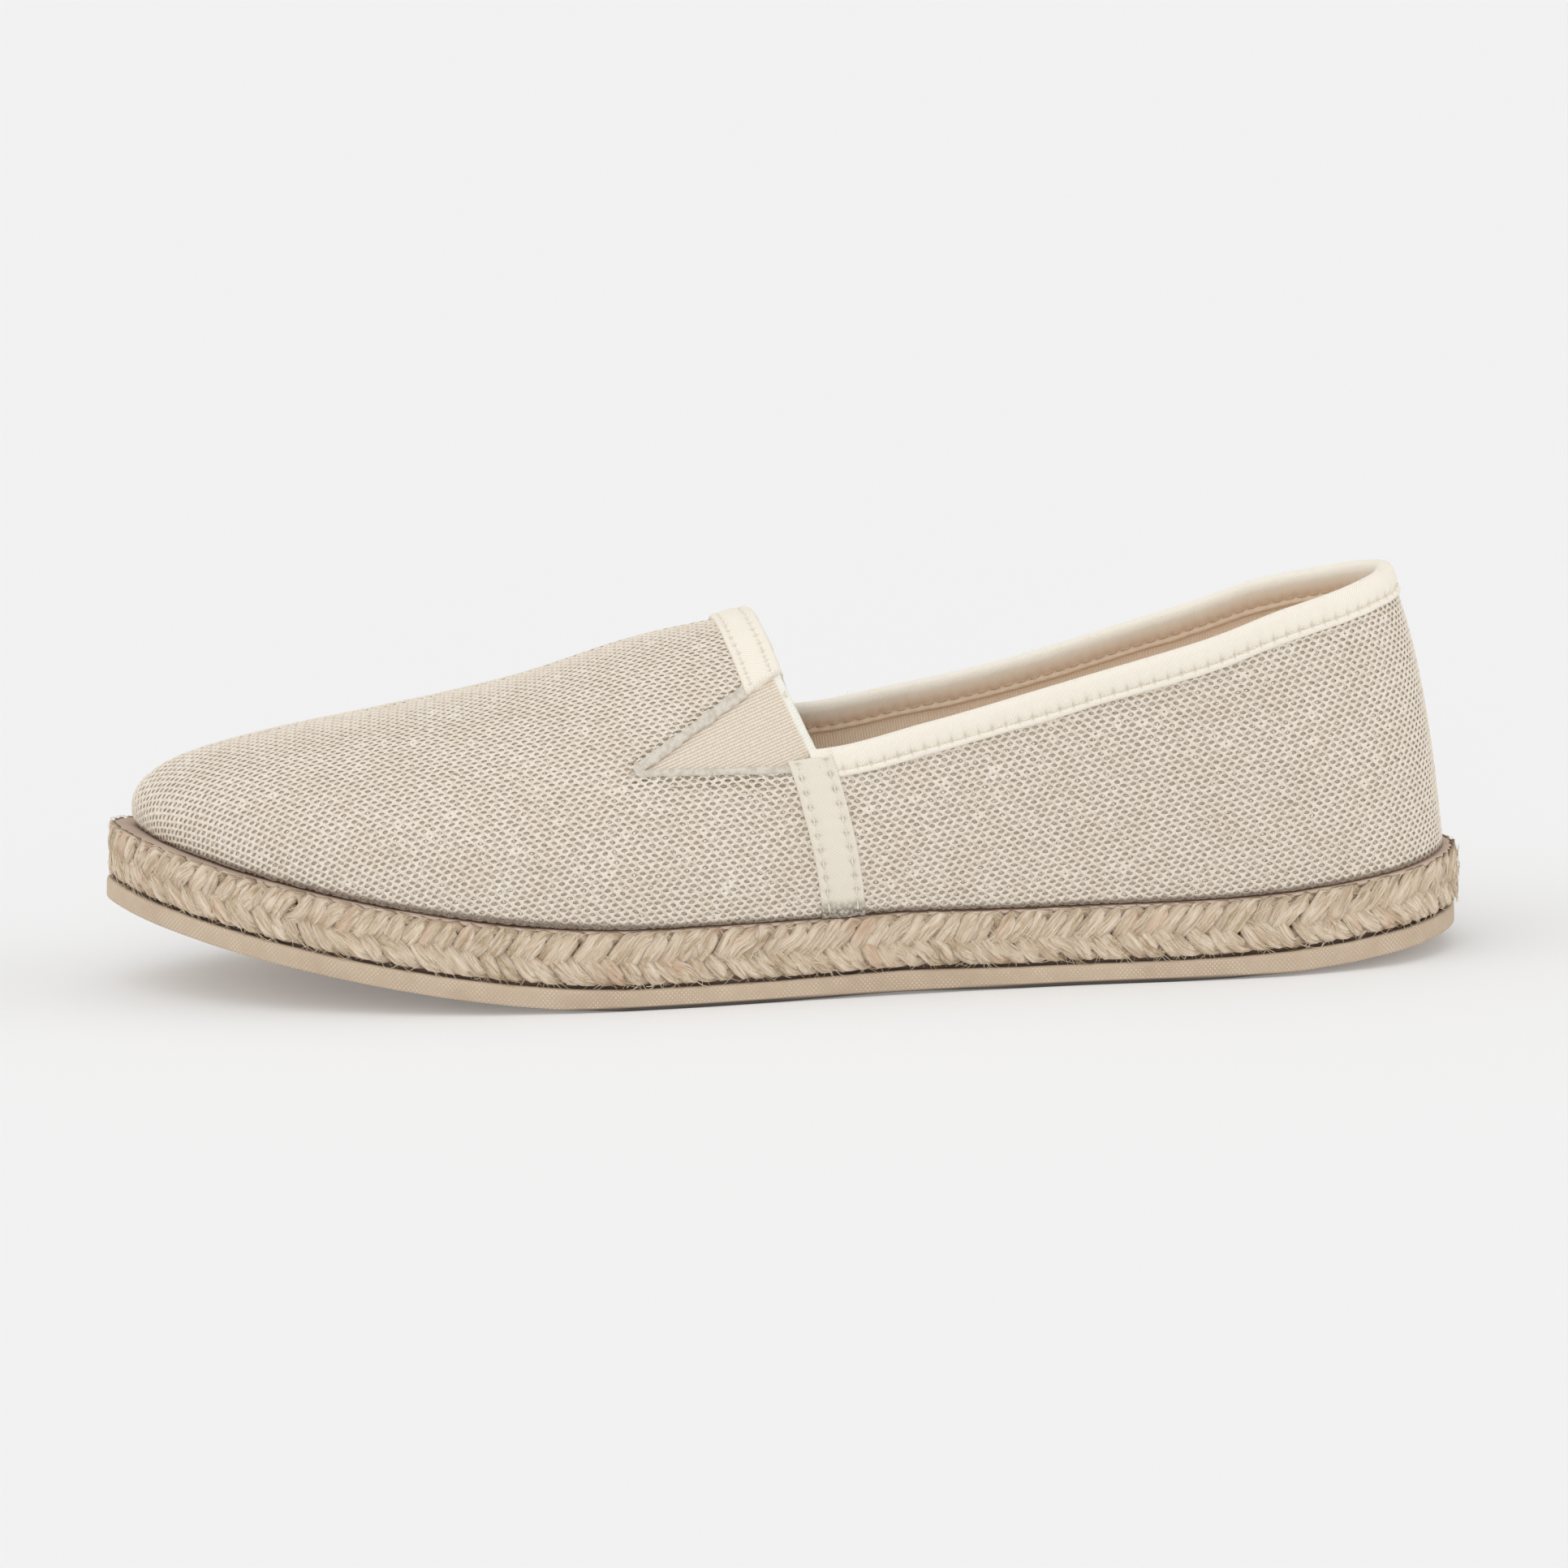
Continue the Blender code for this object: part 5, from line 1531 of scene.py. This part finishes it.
def add_braid(material):
    """The jute braid: strands plaited flat and wrapped round the sole, each a closed loop."""
    walk = np.linspace(0.0, PERIMETER, round(PERIMETER / BRAID_STEP), endpoint=False)
    around = np.arange(BRAID_SIDES) * 2 * np.pi / BRAID_SIDES
    for strand in range(BRAID_STRANDS):
        walks, heights, outs, groove = strand_ring(strand, walk, around, 100 + 10 * strand)
        points = sole_place(walks, outs, heights)
        faces = [grid_faces(*points.shape[:2], wrap_rows=True, wrap_columns=True)]
        uv = np.stack(np.broadcast_arrays(walk[:, None], around * 1.3 + 40 * strand), axis=-1)
        # Painted shade where a strand lies deep, in the crevices under the others
        deep = np.clip((0.55 - BRAID_INSET - outs) / 0.7, 0, 1)
        shades = {"deep": deep, "groove": groove}
        piece = add_piece(f"jute_strand_{strand}", points, faces, material, uv, shades)
        if strand == 0:
            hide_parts("jute_braid")


def add_hairs(name, count, length, lift, seed, low, material):
    """Loose jute fibres: they leave a strand almost along it, and curl away."""
    random = np.random.default_rng(seed)
    walk = random.uniform(0.0, PERIMETER, count)
    strand = random.integers(0, BRAID_STRANDS, count)
    line = np.stack([strand_line(k, w) for k, w in zip(strand, walk)])
    ahead = np.stack([strand_line(k, w + 0.3) for k, w in zip(strand, walk)]) - line
    ahead = unit(ahead) * random.choice([-1, 1], (count, 1))
    if low is not None:
        line[:, 1] = random.uniform(*low, count)
        ahead = np.stack([random.uniform(-1, 1, count), random.uniform(-0.8, 0.3, count), 0 * walk], axis=-1)
    long = random.uniform(*length, count)[:, None]
    part = np.linspace(0.0, 1.0, HAIR_STEPS)
    curl = random.uniform(-0.5, 0.5, (count, 1))
    rise = random.uniform(*lift, (count, 1))
    walks = line[:, :1] + long * (part * ahead[:, :1] + curl * part**2 * ahead[:, 1:2])
    heights = line[:, 1:2] + long * (part * ahead[:, 1:2] - curl * part**2 * ahead[:, :1])
    start = line[:, 2:] - BRAID_INSET + BRAID_THICK[1] / 2 - 0.15
    outs = start + rise * np.sin(np.pi * 0.6 * part) * np.minimum(long, 3.0) / 3.0
    paths = sole_place(walks, np.minimum(outs, HAIR_FARTHEST), np.clip(heights, *HAIR_LIMITS))
    radius = random.uniform(*HAIR_RADII, (count, 1)) * np.linspace(1.0, 0.6, HAIR_STEPS) * MM
    up = np.broadcast_to(np.array([0.11, 0.23, 0.97]), paths.shape)
    points, faces = tubes(paths, radius, up, 3)
    return add_piece(name, points, faces, material)


def add_sole(materials):
    rim = add_sole_ring("sole_rim", RIM_PROFILE, materials["rim"], wobble=0.12, seed=61)
    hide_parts("midsole")
    add_sole_ring("sole_recess", RECESS_PROFILE, materials["recess"], tucked=True)
    add_sole_ring("braid_backing", BACKING_PROFILE, materials["braid_backing"])
    add_sole_ring("outsole_band", BAND_PROFILE, materials["rubber_dots"], tucked=True)
    add_braid(materials["jute"])
    for hairs in HAIRS:
        add_hairs(*hairs, materials["hair"])
    for node, key in (("outsole", "rubber"), ("insole", "footbed")):
        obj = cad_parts[node]
        obj.data.materials.clear()
        obj.data.materials.append(materials[key])


# -------- view, light and floor


def add_camera():
    elevation = math.radians(VIEW_ELEVATION)
    target = Vector(VIEW_TARGET)
    place = target + Vector((0.0, -math.cos(elevation), math.sin(elevation))) * VIEW_DISTANCE
    turn = (target - place).to_track_quat("-Z", "Y").to_matrix().to_4x4()
    data = bpy.data.cameras.new("camera")
    data.sensor_width = SENSOR
    data.lens = SENSOR * VIEW_DISTANCE / VIEW_WIDTH
    data.clip_end = 100.0
    camera = add_object("camera", data)
    camera.matrix_world = Matrix.Translation(place) @ turn @ Matrix.Rotation(-math.radians(VIEW_ROLL), 4, "Z")
    bpy.context.scene.camera = camera


def add_sun(name, azimuth, elevation, strength, softness):
    """Sunlight from an azimuth, 0 being the camera's side and 90 the toe's, with a soft edge."""
    data = bpy.data.lights.new(name, "SUN")
    data.energy = strength
    data.angle = math.radians(softness)
    light = add_object(name, data)
    azimuth, elevation = math.radians(azimuth), math.radians(elevation)
    flat = math.cos(elevation)
    away = Vector((-math.sin(azimuth) * flat, -math.cos(azimuth) * flat, math.sin(elevation)))
    light.rotation_euler = away.to_track_quat("Z", "Y").to_euler()


def add_studio():
    scene = bpy.context.scene
    scene.view_settings.view_transform = "Standard"
    world = bpy.data.worlds.new("studio")
    world.use_nodes = True
    background = world.node_tree.nodes["Background"]
    background.inputs["Color"].default_value = (1.0, 1.0, 1.0, 1.0)
    background.inputs["Strength"].default_value = WORLD_STRENGTH
    scene.world = world
    for light in SUNS:
        add_sun(*light)
    mesh = bpy.data.meshes.new("floor")
    half = FLOOR_SIZE / 2
    corners = [(-half, -half, 0.0), (half, -half, 0.0), (half, half, 0.0), (-half, half, 0.0)]
    mesh.from_pydata(corners, [], [(0, 1, 2, 3)])
    floor = add_object("floor", mesh)
    glow = {"Emission_Color": (1.0, 1.0, 1.0, 1.0), "Emission_Strength": FLOOR_GLOW}
    mesh.materials.append(Shader("floor", FLOOR_COLOUR, 1.0, **glow).material)


def all_materials():
    return {
        "tape": tape_material("cotton_tape", (245, 238, 224)),
        # the cotton tape in a darker tone: painted shade on the side seams
        "darker_seam_tape": tape_material("darker_seam_tape", (234, 226, 211), dirt=True),
        "thread": thread_material("cream_thread", (238, 229, 212)),
        # the cream thread tinted tan: painted bounce light and shade inside the collar
        "shaded_inside_thread": thread_material("cream_thread_shaded", (208, 186, 160)),
        "dark_thread": thread_material("taupe_thread", (176, 162, 142)),
        "net": net_material(),
        "elastic": elastic_material(),
        "turned_edge": felt_material(),
        "jute": jute_material(),
        "hair": hair_material(),
        "rim": foam_material("rim_foam", (206, 184, 167), (184, 163, 147), 900, 0.08),
        # dark brown: partly the core's own colour, partly painted shade of the gap under the braid
        "recess": foam_material("recess_foam", (128, 108, 98), (104, 86, 78), 900, 0.05),
        # dark brown ring behind the braid: painted shade between the strands
        "braid_backing": foam_material("braid_shade", (150, 122, 92), (124, 98, 70), 600, 0.1),
        "rubber": foam_material("tan_rubber", (198, 179, 157), (188, 168, 146), 1400, 0.04),
        "rubber_dots": dotted_rubber_material(),
        "footbed": lining_material("footbed_cloth", (200, 180, 158), (178, 155, 132)),
        "backing": backing_material(),
        # colours far lighter than the taupe cloth's own: painted light for the shoe's inside
        "lining": lining_material("lining_cloth", (255, 240, 218), (246, 224, 200)),
    }


def build():
    materials = all_materials()
    add_nets(materials["net"])
    add_linings([materials["backing"], materials["lining"]])
    add_binding(materials)
    add_tab_tape(materials["tape"])
    add_tab_stitches(materials["thread"])
    for name, side in SIDE_NAMES:
        add_strip_tape(name, side, materials["darker_seam_tape"])
        add_strip_stitches(name, side, materials["thread"])
        add_gore(name, side, materials["elastic"])
        add_notch_edges(name, side, materials)
    add_sole(materials)


build()
add_studio()
add_camera()
